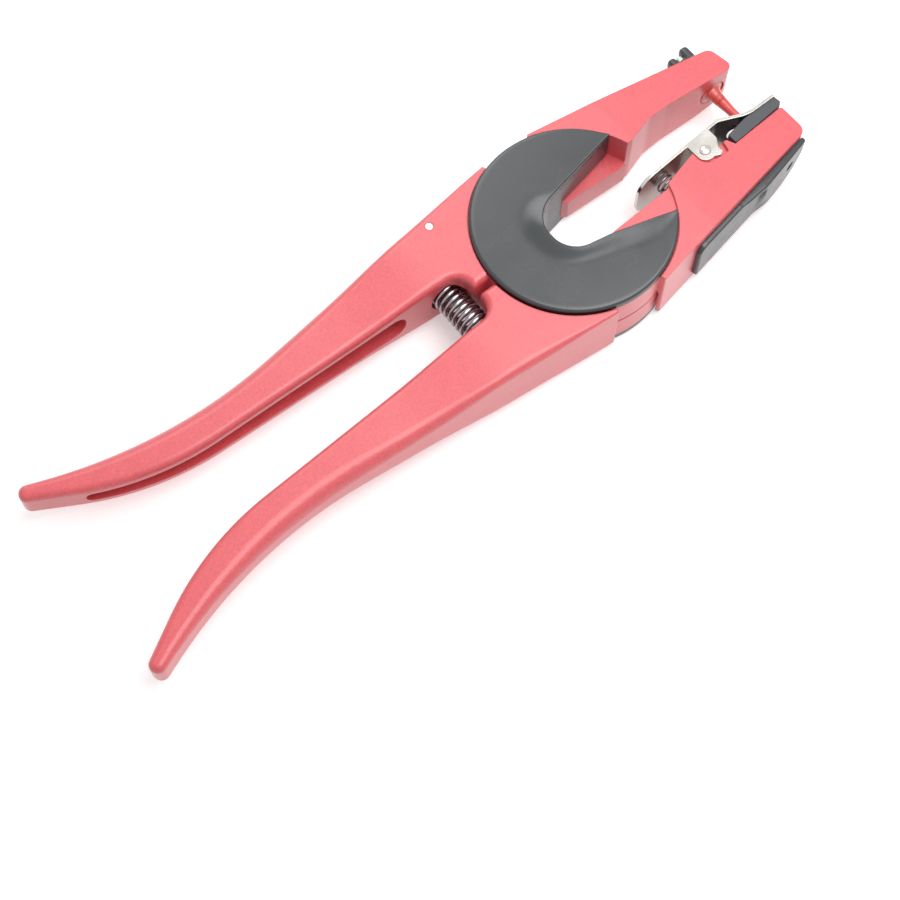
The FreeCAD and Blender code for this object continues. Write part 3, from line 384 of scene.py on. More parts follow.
@dataclass(frozen=True)
class PowderCoat(Finish):
    """A baked coat, powder or lacquer: a skin of fused grains, which gives a fine leathery sparkle."""

    # Widths of a fused grain and of the coat's slow drift, and the height of a grain.
    grain: float = 0.75
    peel: float = 6.0
    height: float = 0.09
    # The colour where the coat is thick, its most share there, and how much a grain is lighter or darker.
    deep: str = "#D94F57"
    deep_share: float = 0.35
    speck: float = 0.11
    # The gloss: how far grains shift it, and the clear skin over them.
    gloss_shift: tuple[float, float] = (-0.08, 0.1)
    coat: float = 1.0
    coat_rough: float = 0.3

    def surface(self, tree: bpy.types.NodeTree, shader: bpy.types.Node, place: bpy.types.NodeSocket) -> None:
        """Grains as a bump, a slow drift of the coat's thickness as a drift of its colour.

        Args:
            tree: The material's nodes.
            shader: The principled shader.
            place: Object coordinates.
        """
        fine = add_node(
            tree,
            "TexNoise",
            {"Scale": grain_scale(self.grain), "Detail": 3.0, "Roughness": 0.6},
            {"Vector": place},
        )
        slow = add_node(tree, "TexNoise", {"Scale": grain_scale(self.peel), "Detail": 2.0}, {"Vector": place})
        drift = add_node(
            tree,
            "MapRange",
            {"From Min": 0.35, "From Max": 0.7, "To Max": self.deep_share},
            {"Value": slow.outputs["Fac"]},
        )
        mix = add_node(
            tree,
            "Mix",
            {"A": linear(self.colour), "B": linear(self.deep)},
            {"Factor": drift.outputs["Result"]},
            data_type="RGBA",
        )
        grey = add_node(
            tree,
            "MapRange",
            {**NOISE_SPAN, "To Min": 1.0 - self.speck, "To Max": 1.0 + self.speck},
            {"Value": fine.outputs["Fac"]},
        )
        specked = add_node(
            tree,
            "Mix",
            {"Factor": 1.0},
            {"A": mix.outputs[2], "B": grey.outputs["Result"]},
            data_type="RGBA",
            blend_type="MULTIPLY",
        )
        tree.links.new(specked.outputs[2], shader.inputs["Base Color"])
        bump = add_node(
            tree,
            "Bump",
            {"Strength": 1.0, "Distance": self.height * MM},
            {"Height": fine.outputs["Fac"], **self.edge(tree)},
        )
        tree.links.new(bump.outputs["Normal"], shader.inputs["Normal"])
        shader.inputs["Coat Weight"].default_value = self.coat
        shader.inputs["Coat Roughness"].default_value = self.coat_rough
        least, most = (self.rough + shift for shift in self.gloss_shift)
        gloss = add_node(
            tree,
            "MapRange",
            {"To Min": least, "To Max": most},
            {"Value": fine.outputs["Fac"]},
        )
        tree.links.new(gloss.outputs["Result"], shader.inputs["Roughness"])


@dataclass(frozen=True)
class Moulded(Finish):
    """A plastic from a spark-eroded mould: satin, with a stipple drawn coarser than most real ones."""

    # Width and depth of the stipple, and the width of a flow mark.
    grain: float = 0.35
    depth: float = 0.012
    flow_width: float = 9.0
    # How far flow marks shift the gloss, and how strongly the skin mirrors.
    scuff: float = 0.04
    level: float = 0.7

    def surface(self, tree: bpy.types.NodeTree, shader: bpy.types.Node, place: bpy.types.NodeSocket) -> None:
        """The stipple as a bump and long soft changes of gloss where the mould fills.

        Args:
            tree: The material's nodes.
            shader: The principled shader.
            place: Object coordinates.
        """
        stipple = {"Scale": grain_scale(self.grain), "Detail": 2.0}
        fine = add_node(tree, "TexNoise", stipple, {"Vector": place})
        flow = add_node(
            tree,
            "TexNoise",
            {"Scale": grain_scale(self.flow_width), "Detail": 3.0, "Distortion": 0.6},
            {"Vector": place},
        )
        least, most = self.rough - self.scuff / 2, self.rough + self.scuff
        gloss = add_node(
            tree,
            "MapRange",
            {**NOISE_SPAN, "To Min": least, "To Max": most},
            {"Value": flow.outputs["Fac"]},
        )
        tree.links.new(gloss.outputs["Result"], shader.inputs["Roughness"])
        shader.inputs["Specular IOR Level"].default_value = self.level
        bump = add_node(
            tree,
            "Bump",
            {"Strength": 0.5, "Distance": self.depth * MM},
            {"Height": fine.outputs["Fac"], **self.edge(tree)},
        )
        tree.links.new(bump.outputs["Normal"], shader.inputs["Normal"])


@dataclass(frozen=True)
class Metal(Finish):
    """Bare or plated steel: a fine grain, drawn into lines where it was rolled or turned, and soft clouds."""

    # A line's length, how many times narrower it is in X, Y and Z, and its depth.
    line: float = 0.12
    stretch: tuple[float, float, float] = (1.0, 1.0, 1.0)
    depth: float = 0.006
    # How much duller a cloud is, and its width.
    cloud: float = 0.1
    cloud_width: float = 4.0

    def surface(self, tree: bpy.types.NodeTree, shader: bpy.types.Node, place: bpy.types.NodeSocket) -> None:
        """Stretched noise gives the lines, a slow noise the clouding that handling leaves.

        Args:
            tree: The material's nodes.
            shader: The principled shader.
            place: Object coordinates.
        """
        squeezed = add_node(tree, "Mapping", {"Scale": self.stretch}, {"Vector": place})
        lines = add_node(
            tree,
            "TexNoise",
            {"Scale": grain_scale(self.line), "Detail": 4.0, "Roughness": 0.65},
            {"Vector": squeezed.outputs["Vector"]},
        )
        slow = add_node(
            tree, "TexNoise", {"Scale": grain_scale(self.cloud_width), "Detail": 3.0}, {"Vector": place}
        )
        gloss = add_node(
            tree,
            "MapRange",
            {**NOISE_SPAN, "To Min": self.rough, "To Max": self.rough + self.cloud},
            {"Value": slow.outputs["Fac"]},
        )
        tree.links.new(gloss.outputs["Result"], shader.inputs["Roughness"])
        bump = add_node(
            tree,
            "Bump",
            {"Strength": 0.4, "Distance": self.depth * MM},
            {"Height": lines.outputs["Fac"], **self.edge(tree)},
        )
        tree.links.new(bump.outputs["Normal"], shader.inputs["Normal"])


FINISHES = {
    # Satin red, with a leathery sparkle from fused grains about 0.75 mm wide.
    "red_powder_coat": PowderCoat("red_powder_coat", "#E65A61", rough=0.46, bevel=0.6),
    # A thinner, smoother and more orange red, with a clear highlight down the cone.
    "red_pin": PowderCoat(
        "red_lacquered_pin", "#D6423A", rough=0.34, bevel=0.2, grain=0.5, peel=3.0, deep="#B93029"
    ),
    # A cool near-black that mirrors its surroundings softly, so curved parts of it look mid grey.
    "black_nylon": Moulded("black_glass_filled_nylon", "#2C3033", rough=0.25, bevel=0.3),
    # As dark, but a little duller.
    "black_acetal": Moulded("black_acetal", "#2A2D31", rough=0.32, bevel=0.25),
    # Dull dark rubber with a coarser skin and no clear highlight.
    "black_pad": Moulded("black_rubber_pad", "#3A3C42", rough=0.5, bevel=0.3, grain=0.45, depth=0.03),
    # Warm white metal, nearly a mirror, softened by fine lines along the strip that it was stamped from.
    "nickel_plate": Metal(
        "nickel_plated_steel",
        "#CFCCC6",
        rough=0.17,
        metal=1.0,
        bevel=0.25,
        line=0.15,
        stretch=(1.0, 6.0, 6.0),
    ),
    # Drawn wire, in a grey darker than bare steel: the extra darkness is painted, a painted dark reflection
    # that stands in for the dim surroundings the coils would mirror, so the lamps' glints show white on dark
    # coils.
    "spring_steel": Metal("bright_spring_steel", "#9E9EA1", rough=0.14, metal=1.0),
    # Turned steel: bright, with fine lines that spread its highlight.
    "bright_steel": Metal(
        "turned_steel", "#D2D0CB", rough=0.25, metal=1.0, bevel=0.15, line=0.1, stretch=(1.0, 8.0, 1.0)
    ),
    # A dark grey crystalline skin, duller than bare steel.
    "grey_steel": Metal("grey_phosphated_steel", "#8C8F90", rough=0.42, metal=0.9, bevel=0.2),
}


class Palette:
    """The materials, each made once and found by the record's slot."""

    def __init__(self) -> None:
        """Make every finish."""
        self.made = {slot: finish.material() for slot, finish in FINISHES.items()}

    def dress(self, piece: bpy.types.Object, slot: str) -> None:
        """Give a piece a finish, in place of what it has."""
        piece.data.materials.clear()
        piece.data.materials.append(self.made[slot])

    def dress_nodes(self, nodes: dict[str, bpy.types.Object], subparts: list[dict]) -> None:
        """Give every node of the frame the finish of its slot.

        Args:
            nodes: Node name to object.
            subparts: The record's list of nodes and slots.
        """
        for part in subparts:
            self.dress(nodes[part["node"]], part["material_slot"])
            LOG.info("%s in %s", part["node"], part["material_slot"])


# ------------------------------------------------------------------ the hub's covers


class Face(Enum):
    """Which way a cover faces."""

    UP = 1
    DOWN = -1


@dataclass
class HubCover:
    """One C-shaped moulded cover, which rolls off softly into the throat."""

    face: Face
    palette: Palette
    radius: float = 30.0
    seat: float = 9.0
    thick: float = 2.5
    # The rounded edges at the rim and the throat, and the most that each may take of a narrow section.
    rim: float = 1.0
    rim_share: float = 0.35
    lip: float = 0.45
    lip_share: float = 0.2
    # The roll-off: its reach, the most of a narrow section that it takes, its drop and its power.
    roll: float = 8.5
    roll_most: float = 0.6
    drop: float = 1.3
    fall: float = 1.3
    # Where it comes and where it fades, as shares of the way round from the +Y mouth corner.
    roll_from: tuple[float, float] = (0.3, 0.47)
    fade_from: tuple[float, float] = (0.72, 0.95)
    fade: float = 0.75
    # The lining's thickness, its lower end, how far it reaches into the cover, and where it starts in X.
    lining_t: float = 0.6
    lining_low: float = 0.4
    lining_under: float = 0.6
    lining_from: float = 3.5
    lining_points: int = 60
    steps: int = 220
    path_points: int = 4000
    edge_points: int = 7
    top_points: int = 40
    # The throat's corners in plan, each with its radius.
    throat: list[tuple[float, float, float]] = field(
        default_factory=lambda: [
            (40.0, 17.45, 0.0),
            (-7.9, 8.05, 8.8),
            (-7.9, -7.4, 8.4),
            (6.5, -10.2, 10.0),
            (40.0, -21.28, 0.0),
        ]
    )

    def throat_line(self) -> np.ndarray:
        """The throat's edge between its two meetings with the rim: the rounded path inside the circle.

        Returns:
            Plan points from the +Y mouth corner to the -Y one.
        """
        path = resample(rounded_path(self.throat), self.path_points)
        inside = path[np.hypot(path[:, 0], path[:, 1]) < self.radius]
        return resample(inside, self.steps)

    def rim_line(self, first: np.ndarray, last: np.ndarray) -> np.ndarray:
        """The circle from one mouth corner round to the other, at even angles.

        Args:
            first: The corner where it starts.
            last: The corner where it ends, a turn less the mouth further on.

        Returns:
            As many plan points as the throat's edge has.
        """
        start = math.atan2(first[1], first[0])
        end = math.atan2(last[1], last[0]) + 2 * math.pi
        angle = np.linspace(start, end, self.steps)
        return self.radius * np.stack([np.cos(angle), np.sin(angle)], axis=1)

    def profile(self, width: np.ndarray, roll_share: np.ndarray) -> tuple[np.ndarray, np.ndarray]:
        """A section from the throat to the rim and back underneath.

        The top is flat but for the roll-off, which follows a power of one less the smooth step of the
        distance from the throat. A quarter circle joins it to each wall. The points are closer at the throat.

        Args:
            width: Distance from throat to rim at each step.
            roll_share: How much of the roll-off each step has.

        Returns:
            Distances from the throat and heights over the seat, steps by section points.
        """
        width = width[:, None]
        lip = np.minimum(self.lip, width * self.lip_share)
        rim = np.minimum(self.rim, width * self.rim_share)
        turn = np.linspace(0, math.pi / 2, self.edge_points)[None]
        lip_out, lip_up = lip * (1 - np.cos(turn)), lip * (np.sin(turn) - 1)
        flat = np.linspace(0, 1, self.top_points)[None, 1:-1] ** 1.5
        top_out = lip + (width - lip - rim) * flat
        rim_out, rim_up = width - rim * (1 - np.sin(turn)), rim * (np.cos(turn) - 1)
        bottom = np.concatenate([width, width * 0.5, width * 0.0], axis=1)
        out = np.concatenate([lip_out, top_out, rim_out, bottom], axis=1)
        lift = np.concatenate([lip_up, top_out * 0, rim_up], axis=1)
        roll = np.minimum(self.roll, width * self.roll_most)
        share = out[:, : lift.shape[1]] / roll
        sag = self.drop * roll_share[:, None] * (1 - smooth(share, 0.0, 1.0)) ** self.fall
        top = self.thick + lift - sag
        return out, np.concatenate([top, bottom * 0], axis=1)

    def build(self) -> bpy.types.Object:
        """Sweep the section round the C from mouth corner to mouth corner.

        The roll-off begins after the straight +Y side, which keeps a crisp edge, and fades to the -Y corner.

        Returns:
            The cover, riding on the tag lever.
        """
        inner = self.throat_line()
        outer = self.rim_line(inner[0], inner[-1])
        across = outer - inner
        width = np.maximum(np.linalg.norm(across, axis=1), 1e-6)
        across = across / width[:, None]
        share = np.linspace(0, 1, self.steps)
        roll_share = smooth(share, *self.roll_from) * (1 - self.fade * smooth(share, *self.fade_from))
        out, up = self.profile(width, roll_share)
        plan = inner[:, None, :] + across[:, None, :] * out[..., None]
        z = (self.seat + up) * self.face.value
        points = np.concatenate([plan, z[..., None]], axis=2)
        rows, columns = points.shape[:2]
        faces = ring_faces(rows, columns)
        if self.face is Face.DOWN:
            faces = faces[:, ::-1]
        name = "moulded_cover_" + self.face.name.lower()
        made = mesh_object(name, points.reshape(-1, 3), faces)
        self.palette.dress(made, "black_nylon")
        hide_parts("top_cover" if self.face is Face.UP else "bottom_cover")
        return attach(made, "tag_lever")

    def lining(self) -> bpy.types.Object:
        """The wall that hangs from the cover along the throat's flared side, down to the lower layer.

        Returns:
            The lining, riding on the tag lever.
        """
        line = self.throat_line()
        line = resample(line[(line[:, 0] > self.lining_from) & (line[:, 1] > 0)], self.lining_points)
        along = np.gradient(line, axis=0)
        along /= np.linalg.norm(along, axis=1)[:, None]
        side = np.stack([-along[:, 1], along[:, 0]], axis=1)
        side = side * np.sign(side[:, 1:])
        back = line + side * self.lining_t
        top, low = self.seat + self.lining_under, self.lining_low

        def at(plan: np.ndarray, height: float) -> np.ndarray:
            """Plan points at one height."""
            return np.concatenate([plan, np.full((len(plan), 1), height)], axis=1)

        rings = np.stack([at(line, top), at(line, low), at(back, low), at(back, top)], axis=1)
        made = tube("throat_lining", rings)
        self.palette.dress(made, "black_nylon")
        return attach(made, "tag_lever")


# ------------------------------------------------------------------ the jaw insert


@dataclass
class JawInsert:
    """The black insert on the tag jaw: a plate with a scoop, a bowed nose and a hole for the pin."""

    palette: Palette
    # The jaw's line in plan: a point on it and its slope. Everything along it is measured from that point.
    corner: tuple[float, float] = (8.0, -30.9)
    slope: float = 10.43
    start: float = 15.0
    end: float = 65.4
    half: float = 7.5
    gap: float = 0.05
    cut_in: float = 0.01
    # Thickness over the jaw at the scoop's floor, the belly and the nose, and the power of the last fall.
    floor: float = 1.6
    belly: float = 2.7
    nose_t: float = 1.6
    nose_curve: float = 1.2
    # The outer edges' radius.
    round_r: float = 0.6
    # The upper edge starts under the jaw's and falls to the nose. Both rear corners are rounded.
    top_gap: float = 0.2
    nose_drop: float = 1.5
    rear_r: float = 3.0
    rear_low_r: float = 1.0
    # The lower edge's sweep: its length, how far past the middle it rises, and its two powers.
    sweep_long: float = 13.0
    sweep_over: float = 3.0
    sweep_powers: tuple[float, float] = (2.4, 1.7)
    # The step: where it stands, how far its foot leans back, and how it widens downwards.
    step_at: float = 44.8
    step_back: float = 3.4
    step_curve: float = 1.3
    step_top: float = 3.5
    step_tall: float = 7.6
    step_long: float = 0.9
    step_soft: float = 7.0
    # The rim that carries the raised part back.
    rim_from: float = 33.0
    rim_wide: float = 1.7
    # The hole for the pin: its place, radius and depth, and how far its edge is softened in and out.
    hole_at: float = 58.3
    hole_up: float = 0.4
    hole_r: float = 1.35
    hole_deep: float = 1.2
    hole_soft: tuple[float, float] = (0.25, 0.1)

    def high(self, s: np.ndarray) -> np.ndarray:
        """The upper edge: a slight slope to the nose, with a rounded rear corner."""
        edge = self.half - self.top_gap - self.nose_drop * (s - self.start) / (self.end - self.start)
        return edge - round_off(s - self.start, self.rear_r)

    def low(self, s: np.ndarray) -> np.ndarray:
        """The lower edge: level, then sweeping up to the nose as a quarter of a superellipse.

        Args:
            s: Distance along the jaw.

        Returns:
            Height at each point: a share a of the sweep rises by 1 - (1 - a^p)^(1/q) of its height.
        """
        along = np.clip((s - (self.end - self.sweep_long)) / self.sweep_long, 0, 1)
        rise = self.half + self.sweep_over
        along_power, rise_power = self.sweep_powers
        sweep = rise * (1 - (1 - along**along_power) ** (1 / rise_power))
        return -self.half + sweep + round_off(s - self.start, self.rear_low_r)

    def thickness(self, s: np.ndarray, z: np.ndarray) -> np.ndarray:
        """How far the outer face stands off the jaw.

        The scoop's floor is even. In front of the curved step the plate is raised: most just past the
        step, least at the nose. A thin rim carries the raised part back along the upper edge. The step is
        a smooth step along the jaw, which widens with the square of the share of its height below its top.

        Args:
            s: Distance along the jaw.
            z: Height.

        Returns:
            Thickness at each point.
        """
        rim_low = self.high(s) - self.rim_wide
        below = np.clip((self.step_top - z) / self.step_tall, 0, 1)
        step = self.step_at - self.step_back * below**self.step_curve
        rim = np.clip((z - rim_low) / self.rim_wide, 0, 1)
        step = step - (self.step_at - self.rim_from) * rim
        to_step = np.clip((s - self.rim_from) / (self.step_at - self.rim_from), 0, 1)
        past_step = np.clip((s - self.step_at) / (self.end - self.step_at), 0, 1)
        behind = self.floor + (self.belly - self.floor) * to_step
        ahead = self.belly - (self.belly - self.nose_t) * past_step**self.nose_curve
        raised = np.where(s < self.step_at, behind, ahead)
        spread = self.step_long + self.step_soft * below**2
        return self.floor + (raised - self.floor) * smooth((s - step) / spread, 0.0, 1.0)

    def rail(self) -> bpy.types.Object:
        """The T rail behind the plate: the part of the frame's own solid that lies inside the jaw.

        Returns:
            The rail.
        """
        made, work = solid_copy("jaw_insert", "rail")
        turn = math.radians(self.slope)
        inwards = Vector((-math.sin(turn), math.cos(turn), 0.0))
        place = Vector((*self.corner, 0.0)) * MM - inwards * (self.gap - self.cut_in) * MM
        every = work.verts[:] + work.edges[:] + work.faces[:]
        bmesh.ops.bisect_plane(work, geom=every, plane_co=place, plane_no=inwards, clear_inner=True)
        bmesh.ops.holes_fill(work, edges=[edge for edge in work.edges if edge.is_boundary])
        close_edit(made, work)
        return made

    def build(self) -> bpy.types.Object:
        """Make the outer face as a grid, close it with walls and a flat back, and add the rail.

        The grid is closer at both ends, at the step and along the edges, where the face bends most.

        Returns:
            The insert, riding on the insert's own body.
        """
        ends = 0.7 * np.linspace(0, 1, 9) ** 2
        near_step = np.linspace(self.step_at - 5, self.step_at + 2, 50)
        s_line = [np.linspace(self.start, self.end, 130), near_step, self.start + ends, self.end - ends]
        v_line = [np.linspace(0, 1, 70), np.linspace(0, 0.05, 9), np.linspace(0.85, 1, 16)]
        s_line, v_line = np.unique(np.concatenate(s_line)), np.unique(np.concatenate(v_line))
        s, v = np.meshgrid(s_line, v_line, indexing="ij")
        low, high = self.low(s), self.high(s)
        z = low + (high - low) * v
        reach = np.minimum.reduce([z - low, high - z, s - self.start, self.end - s])
        from_hole = np.hypot(s - self.hole_at, z - self.hole_up)
        inner, outer = self.hole_r - self.hole_soft[0], self.hole_r + self.hole_soft[1]
        dimple = self.hole_deep * (1 - smooth(from_hole, inner, outer))
        y = -(self.thickness(s, z) - round_off(reach, self.round_r) - dimple)
        back = np.full(s.shape, -self.gap)
        front_points = np.stack([s, y, z], axis=-1)
        back_points = np.stack([s, back, z], axis=-1)
        rings = np.concatenate([front_points, back_points[:, ::-1]], axis=1)
        turn = math.radians(self.slope)
        x = self.corner[0] + rings[..., 0] * math.cos(turn) - rings[..., 1] * math.sin(turn)
        across = self.corner[1] + rings[..., 0] * math.sin(turn) + rings[..., 1] * math.cos(turn)
        made = tube("bowed_insert", np.stack([x, across, rings[..., 2]], axis=-1))
        made = join([made, self.rail()])
        self.palette.dress(made, "black_nylon")
        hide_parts("jaw_insert")
        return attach(made, "insert")


# ------------------------------------------------------------------ the lock knob


@dataclass
class LockKnob:
    """The quarter-turn knob: a round boss, and two rounded finger lobes with a low waist between."""

    palette: Palette
    spindle_x: float = 65.3
    foot_y: float = 21.81
    # The boss, and its profile from the foot up as shares of its radius and height.
    boss_r: float = 2.9
    boss_tall: float = 3.0
    boss_profile: tuple[tuple[float, float], ...] = (
        (0.98, 0.0),
        (1.0, 0.03),
        (1.0, 0.85),
        (0.97, 0.95),
        (0.9, 0.99),
        (0.75, 1.0),
    )
    # The lobes: side of the spindle, half length and height of each, then what both share.
    lobes: tuple[tuple[float, float, float], ...] = ((1.0, 1.55, 3.9), (-1.0, 1.35, 2.9))
    lobe_out: float = 2.75
    lobe_half: float = 2.1
    lobe_sink: float = 0.6
    lobe_power: float = 3.2
    straight: float = 0.6
    dome_power: float = 0.6
    # The waist's arch: half width, foot, shoulder, half of its flat crown, crown, and how far it narrows.
    waist_half: float = 1.5
    waist_sink: float = 0.4
    waist_side: float = 0.8
    waist_flat: float = 1.2
    waist_crown: float = 1.15
    waist_in: float = 0.25

    def lobe(self, side: float, half: float, tall: float) -> np.ndarray:
        """A rounded block: rings of a superellipse |x/a|^p + |z/b|^p = 1 that close in a rounded top.

        The rings stop just short of the pole, where a small flat cap closes them.

        Args:
            side: Plus one ahead of the spindle, minus one behind.
            half: Half its length.
            tall: How far it stands over the boss.

        Returns:
            Rings of points.
        """
        turn = np.linspace(0, 2 * math.pi, 40, endpoint=False)
        power = 2 / self.lobe_power
        ring_x = half * np.sign(np.cos(turn)) * np.abs(np.cos(turn)) ** power
        ring_z = self.lobe_half * np.sign(np.sin(turn)) * np.abs(np.sin(turn)) ** power
        rise = np.linspace(0, math.pi / 2 * 0.98, 12)
        shrink = np.concatenate([[1.0, 1.0], np.cos(rise[1:]) ** self.dome_power])
        dome = self.straight + (1 - self.straight) * np.sin(rise[1:])
        height = np.concatenate([[-self.lobe_sink, tall * self.straight], tall * dome])
        x = self.spindle_x + side * self.lobe_out + shrink[:, None] * ring_x[None]
        z = shrink[:, None] * ring_z[None]
        y = np.broadcast_to((self.foot_y + self.boss_tall + height)[:, None], x.shape)
        return np.stack([x, y, z], axis=-1)

    def boss(self) -> np.ndarray:
        """The boss: rings of a circle with a rounded upper rim.

        Returns:
            Rings of points.
        """
        radius, height = np.array(self.boss_profile).T * np.array([[self.boss_r], [self.boss_tall]])
        across, aside, along = turned(radius, self.foot_y + height, 48)
        return np.stack([self.spindle_x + across, along, aside], axis=-1)

    def waist(self) -> np.ndarray:
        """The low bar that joins the lobes: rings along X of an arch with cut corners, narrowest halfway.

        Returns:
            Rings of points.
        """
        half, flat = self.waist_half, self.waist_flat
        side, crown, foot = self.waist_side, self.waist_crown, -self.waist_sink
        left = [[-half, foot], [-half, side], [-flat, crown]]
        arch = np.array(left + [[-across, up] for across, up in left[::-1]])
        x = self.spindle_x + np.linspace(-self.lobe_out, self.lobe_out, 9)
        squeeze = 1 - self.waist_in * np.cos(np.linspace(-math.pi / 2, math.pi / 2, 9))
        z = squeeze[:, None] * arch[None, :, 0]
        y = self.foot_y + self.boss_tall + np.broadcast_to(arch[None, :, 1], z.shape)
        return np.stack([np.broadcast_to(x[:, None], z.shape), y, z], axis=-1)

    def build(self) -> bpy.types.Object:
        """Make boss, waist and lobes and join them into one piece.

        Returns:
            The knob, riding on the lock knob's body.
        """
        pieces = [tube("winged_knob", self.boss(), 50), tube("waist", self.waist(), 50)]
        pieces += [tube("lobe", self.lobe(*sizes), 60) for sizes in self.lobes]
        made = join(pieces)
        self.palette.dress(made, "black_acetal")
        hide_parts("lock_knob")
        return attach(made, "lock_knob")


# ------------------------------------------------------------------ the clip's rivet


@dataclass
class ClipRivet:
    """The rivet through the clip's ears, with a domed head on each."""

    palette: Palette
    place: tuple[float, float] = (45.5, -5.85)
    shank: float = 1.25
    head: float = 1.75
    face: float = 8.92
    edge: float = 0.12
    dome: float = 0.75

    def build(self) -> bpy.types.Object:
        """Turn the profile: a shank between two domes, each a quarter ellipse over a short edge.

        The domes stop just short of the pole, where a small flat cap closes them.

        Returns:
            The rivet, riding on the tag lever.
        """
        rise = np.linspace(0, math.pi / 2 * 0.97, 9)
        dome_r, dome_z = self.head * np.cos(rise), self.face + self.edge + self.dome * np.sin(rise)
        shank_r = [self.head, self.shank, self.shank, self.head]
        shank_z = [-self.face, -self.face, self.face, self.face]
        radius = np.concatenate([dome_r[::-1], shank_r, dome_r])
        height = np.concatenate([-dome_z[::-1], shank_z, dome_z])
        across, aside, along = turned(radius, height, 36)
        rings = np.stack([self.place[0] + across, self.place[1] + aside, along], axis=-1)
        made = tube("domed_rivet", rings, 50)
        self.palette.dress(made, "nickel_plate")
        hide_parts("clip_pin")
        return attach(made, "tag_lever")


# ------------------------------------------------------------------ the clip's pad


@dataclass
class ClipPad:
    """The pad under the clip's nose: the frame's own solid with its edges broken by a chamfer."""

    palette: Palette
    chamfer: float = 0.55
    segments: int = 2
    # In degrees: faces that differ by less are one, edges that turn by more are broken, or stay hard.
    flat_within: float = 1.5
    broken_over: float = 40.0
    hard_over: float = 30.0

    def build(self) -> bpy.types.Object:
        """Copy the solid, merge it into whole faces, and bevel every edge that turns sharply.

        Returns:
            The pad, riding on the clip.
        """
        made, work = solid_copy("clip_pad", "chamfered_pad")
        limit = math.radians(self.flat_within)
        bmesh.ops.dissolve_limit(work, angle_limit=limit, verts=work.verts, edges=work.edges)
        close_edit(made, work)
        broken = made.modifiers.new("broken_edges", "BEVEL")
        broken.width = self.chamfer * MM
        broken.segments = self.segments
        broken.limit_method = "ANGLE"
        broken.angle_limit = math.radians(self.broken_over)
        shade(made.data, self.hard_over)
        self.palette.dress(made, "black_pad")
        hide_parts("clip_pad")
        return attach(made, "clip")


# ------------------------------------------------------------------ studio and camera


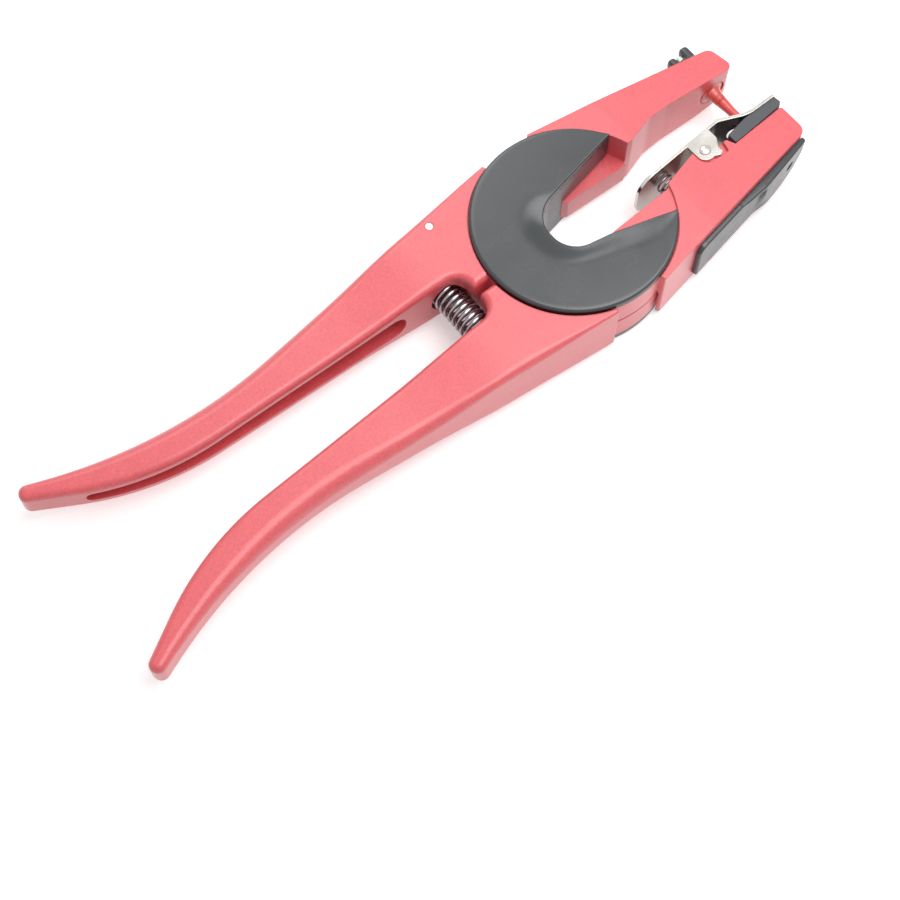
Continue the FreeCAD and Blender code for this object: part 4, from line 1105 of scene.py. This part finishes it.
@dataclass
class Studio:
    """A pale floor, a white surround and soft lamps."""

    floor_colour: str = "#F2F2F2"
    floor_half: float = 1500.0
    # How much the floor is lifted where it is seen, up to the near distance and from the far one on.
    glow: float = 0.42
    far_glow: float = 0.8
    glow_near: float = 250.0
    glow_wide: float = 700.0
    ambient: float = 0.3
    # Each lamp's power, size and place, and the point that both face.
    key: float = 2.6
    key_size: float = 600.0
    key_place: tuple[float, float, float] = (240.0, 650.0, 720.0)
    panel: float = 2.15
    panel_size: float = 480.0
    panel_place: tuple[float, float, float] = (100.0, -95.0, 480.0)
    aim_at: tuple[float, float, float] = (-40.0, 0.0, 0.0)

    def ray_share(self, tree: bpy.types.NodeTree) -> bpy.types.NodeSocket:
        """One for camera, glossy and transmission rays, nought for the rest.

        Args:
            tree: The nodes of the floor or the surround.

        Returns:
            The socket that holds it.
        """
        path = add_node(tree, "LightPath").outputs
        links = {0: path["Is Camera Ray"], 1: path["Is Glossy Ray"]}
        first = add_node(tree, "Math", links=links, operation="MAXIMUM")
        links = {0: first.outputs[0], 1: path["Is Transmission Ray"]}
        return add_node(tree, "Math", links=links, operation="MAXIMUM").outputs[0]

    def surround(self) -> None:
        """White where it is seen or mirrored, and a plain level of light elsewhere."""
        world = bpy.data.worlds.new("studio_surround")
        world.use_nodes = True
        tree = world.node_tree
        tree.nodes.clear()
        seen = self.ray_share(tree)
        strength = add_node(tree, "MapRange", {"To Min": self.ambient, "To Max": 1.0}, {"Value": seen})
        light = add_node(
            tree, "Background", {"Color": (1.0, 1.0, 1.0, 1.0)}, {"Strength": strength.outputs["Result"]}
        )
        add_node(tree, "OutputWorld", links={"Surface": light.outputs["Background"]})
        bpy.context.scene.world = world

    def floor(self) -> None:
        """The floor under the lowest point: pale paper that keeps the shadow.

        Seen or mirrored it is lifted a little, and more so far out, where the lamps no longer reach.
        """
        half = self.floor_half
        low = CAD_BOX[0][2] / MM
        corners = np.array([[-half, -half, low], [half, -half, low], [half, half, low], [-half, half, low]])
        sheet = mesh_object("studio_floor", corners, np.array([[0, 1, 2, 3]]))
        made = bpy.data.materials.new("floor_paper")
        made.use_nodes = True
        tree = made.node_tree
        tree.nodes.clear()
        paper = add_node(tree, "BsdfDiffuse", {"Color": linear(self.floor_colour)})
        seen = self.ray_share(tree)
        place = add_node(tree, "TexCoord").outputs["Object"]
        away = add_node(tree, "VectorMath", links={0: place}, operation="LENGTH")
        level = add_node(
            tree,
            "MapRange",
            {
                "From Min": self.glow_near * MM,
                "From Max": self.glow_wide * MM,
                "To Min": self.glow,
                "To Max": self.far_glow,
            },
            {"Value": away.outputs["Value"]},
        )
        glow = add_node(tree, "Math", links={0: seen, 1: level.outputs["Result"]}, operation="MULTIPLY")
        lift = add_node(tree, "Emission", {"Color": (1.0, 1.0, 1.0, 1.0)}, {"Strength": glow.outputs[0]})
        both = add_node(tree, "AddShader", links={0: paper.outputs[0], 1: lift.outputs[0]})
        add_node(tree, "OutputMaterial", links={"Surface": both.outputs[0]})
        sheet.data.materials.append(made)

    def lamp(self, name: str, place: tuple[float, float, float], size: float, watts: float) -> None:
        """A soft lamp aimed at the tool.

        Args:
            name: The lamp's name.
            place: Where it stands, in millimetres.
            size: Its width, in millimetres.
            watts: Its power.
        """
        data = bpy.data.lights.new(name, "AREA")
        data.shape = "DISK"
        data.size = size * MM
        data.energy = watts
        lamp = bpy.data.objects.new(name, data)
        lamp.location = Vector(place) * MM
        aim = Vector(self.aim_at) * MM - lamp.location
        lamp.rotation_euler = aim.to_track_quat("-Z", "Y").to_euler()
        bpy.context.scene.collection.objects.link(lamp)

    def build(self) -> None:
        """Set up floor, surround and lamps."""
        self.surround()
        self.floor()
        self.lamp("key_softbox", self.key_place, self.key_size, self.key)
        self.lamp("top_panel", self.panel_place, self.panel_size, self.panel)


@dataclass
class Portrait:
    """The camera: its direction, its lens, and where the hub's top stands in the view."""

    # The view's direction and the camera's roll, in degrees.
    azimuth: float = -38.62
    elevation: float = 67.31
    roll: float = -0.17
    lens: float = 72.1
    sensor: float = 36.0
    nearest: float = 10.0
    # The hub's top from the camera: straight ahead, to the right and up, then its height in the frame.
    depth: float = 515.4
    hub_right: float = 35.28
    hub_up: float = 65.72
    hub_top: float = 10.0

    def build(self) -> None:
        """Stand back from the hub along the view, then aside, so that the hub sits where it should."""
        turn, rise = math.radians(self.azimuth), math.radians(self.elevation)
        back = Vector((math.sin(turn) * math.cos(rise), -math.cos(turn) * math.cos(rise), math.sin(rise)))
        level = Vector((math.cos(turn), math.sin(turn), 0.0))
        upright = back.cross(level)
        tilt = math.radians(self.roll)
        right = level * math.cos(tilt) + upright * math.sin(tilt)
        up = upright * math.cos(tilt) - level * math.sin(tilt)
        hub = Vector((0.0, 0.0, self.hub_top))
        place = (hub + back * self.depth - right * self.hub_right - up * self.hub_up) * MM
        axes = Matrix((right, up, back)).transposed().to_4x4()
        data = bpy.data.cameras.new("portrait")
        data.lens = self.lens
        data.sensor_width = self.sensor
        data.clip_start = self.nearest * MM
        camera = bpy.data.objects.new("portrait", data)
        camera.matrix_world = Matrix.Translation(place) @ axes
        bpy.context.scene.collection.objects.link(camera)
        bpy.context.scene.camera = camera


# ------------------------------------------------------------------ assembly


def main() -> None:
    """Dress the frame, add the pieces, and set up the studio."""
    logging.basicConfig(level=logging.INFO, format="%(name)s: %(message)s")
    bpy.context.scene.view_settings.view_transform = "Standard"
    palette = Palette()
    palette.dress_nodes(frame["nodes"], frame["record"]["subparts"])
    makers = [HubCover(face, palette).build for face in Face]
    makers.append(HubCover(Face.UP, palette).lining)
    makers += [kind(palette).build for kind in (JawInsert, LockKnob, ClipRivet, ClipPad)]
    for maker in makers:
        LOG.info("built %s", maker().name)
    Studio().build()
    Portrait().build()


if __name__ == "__main__":
    main()
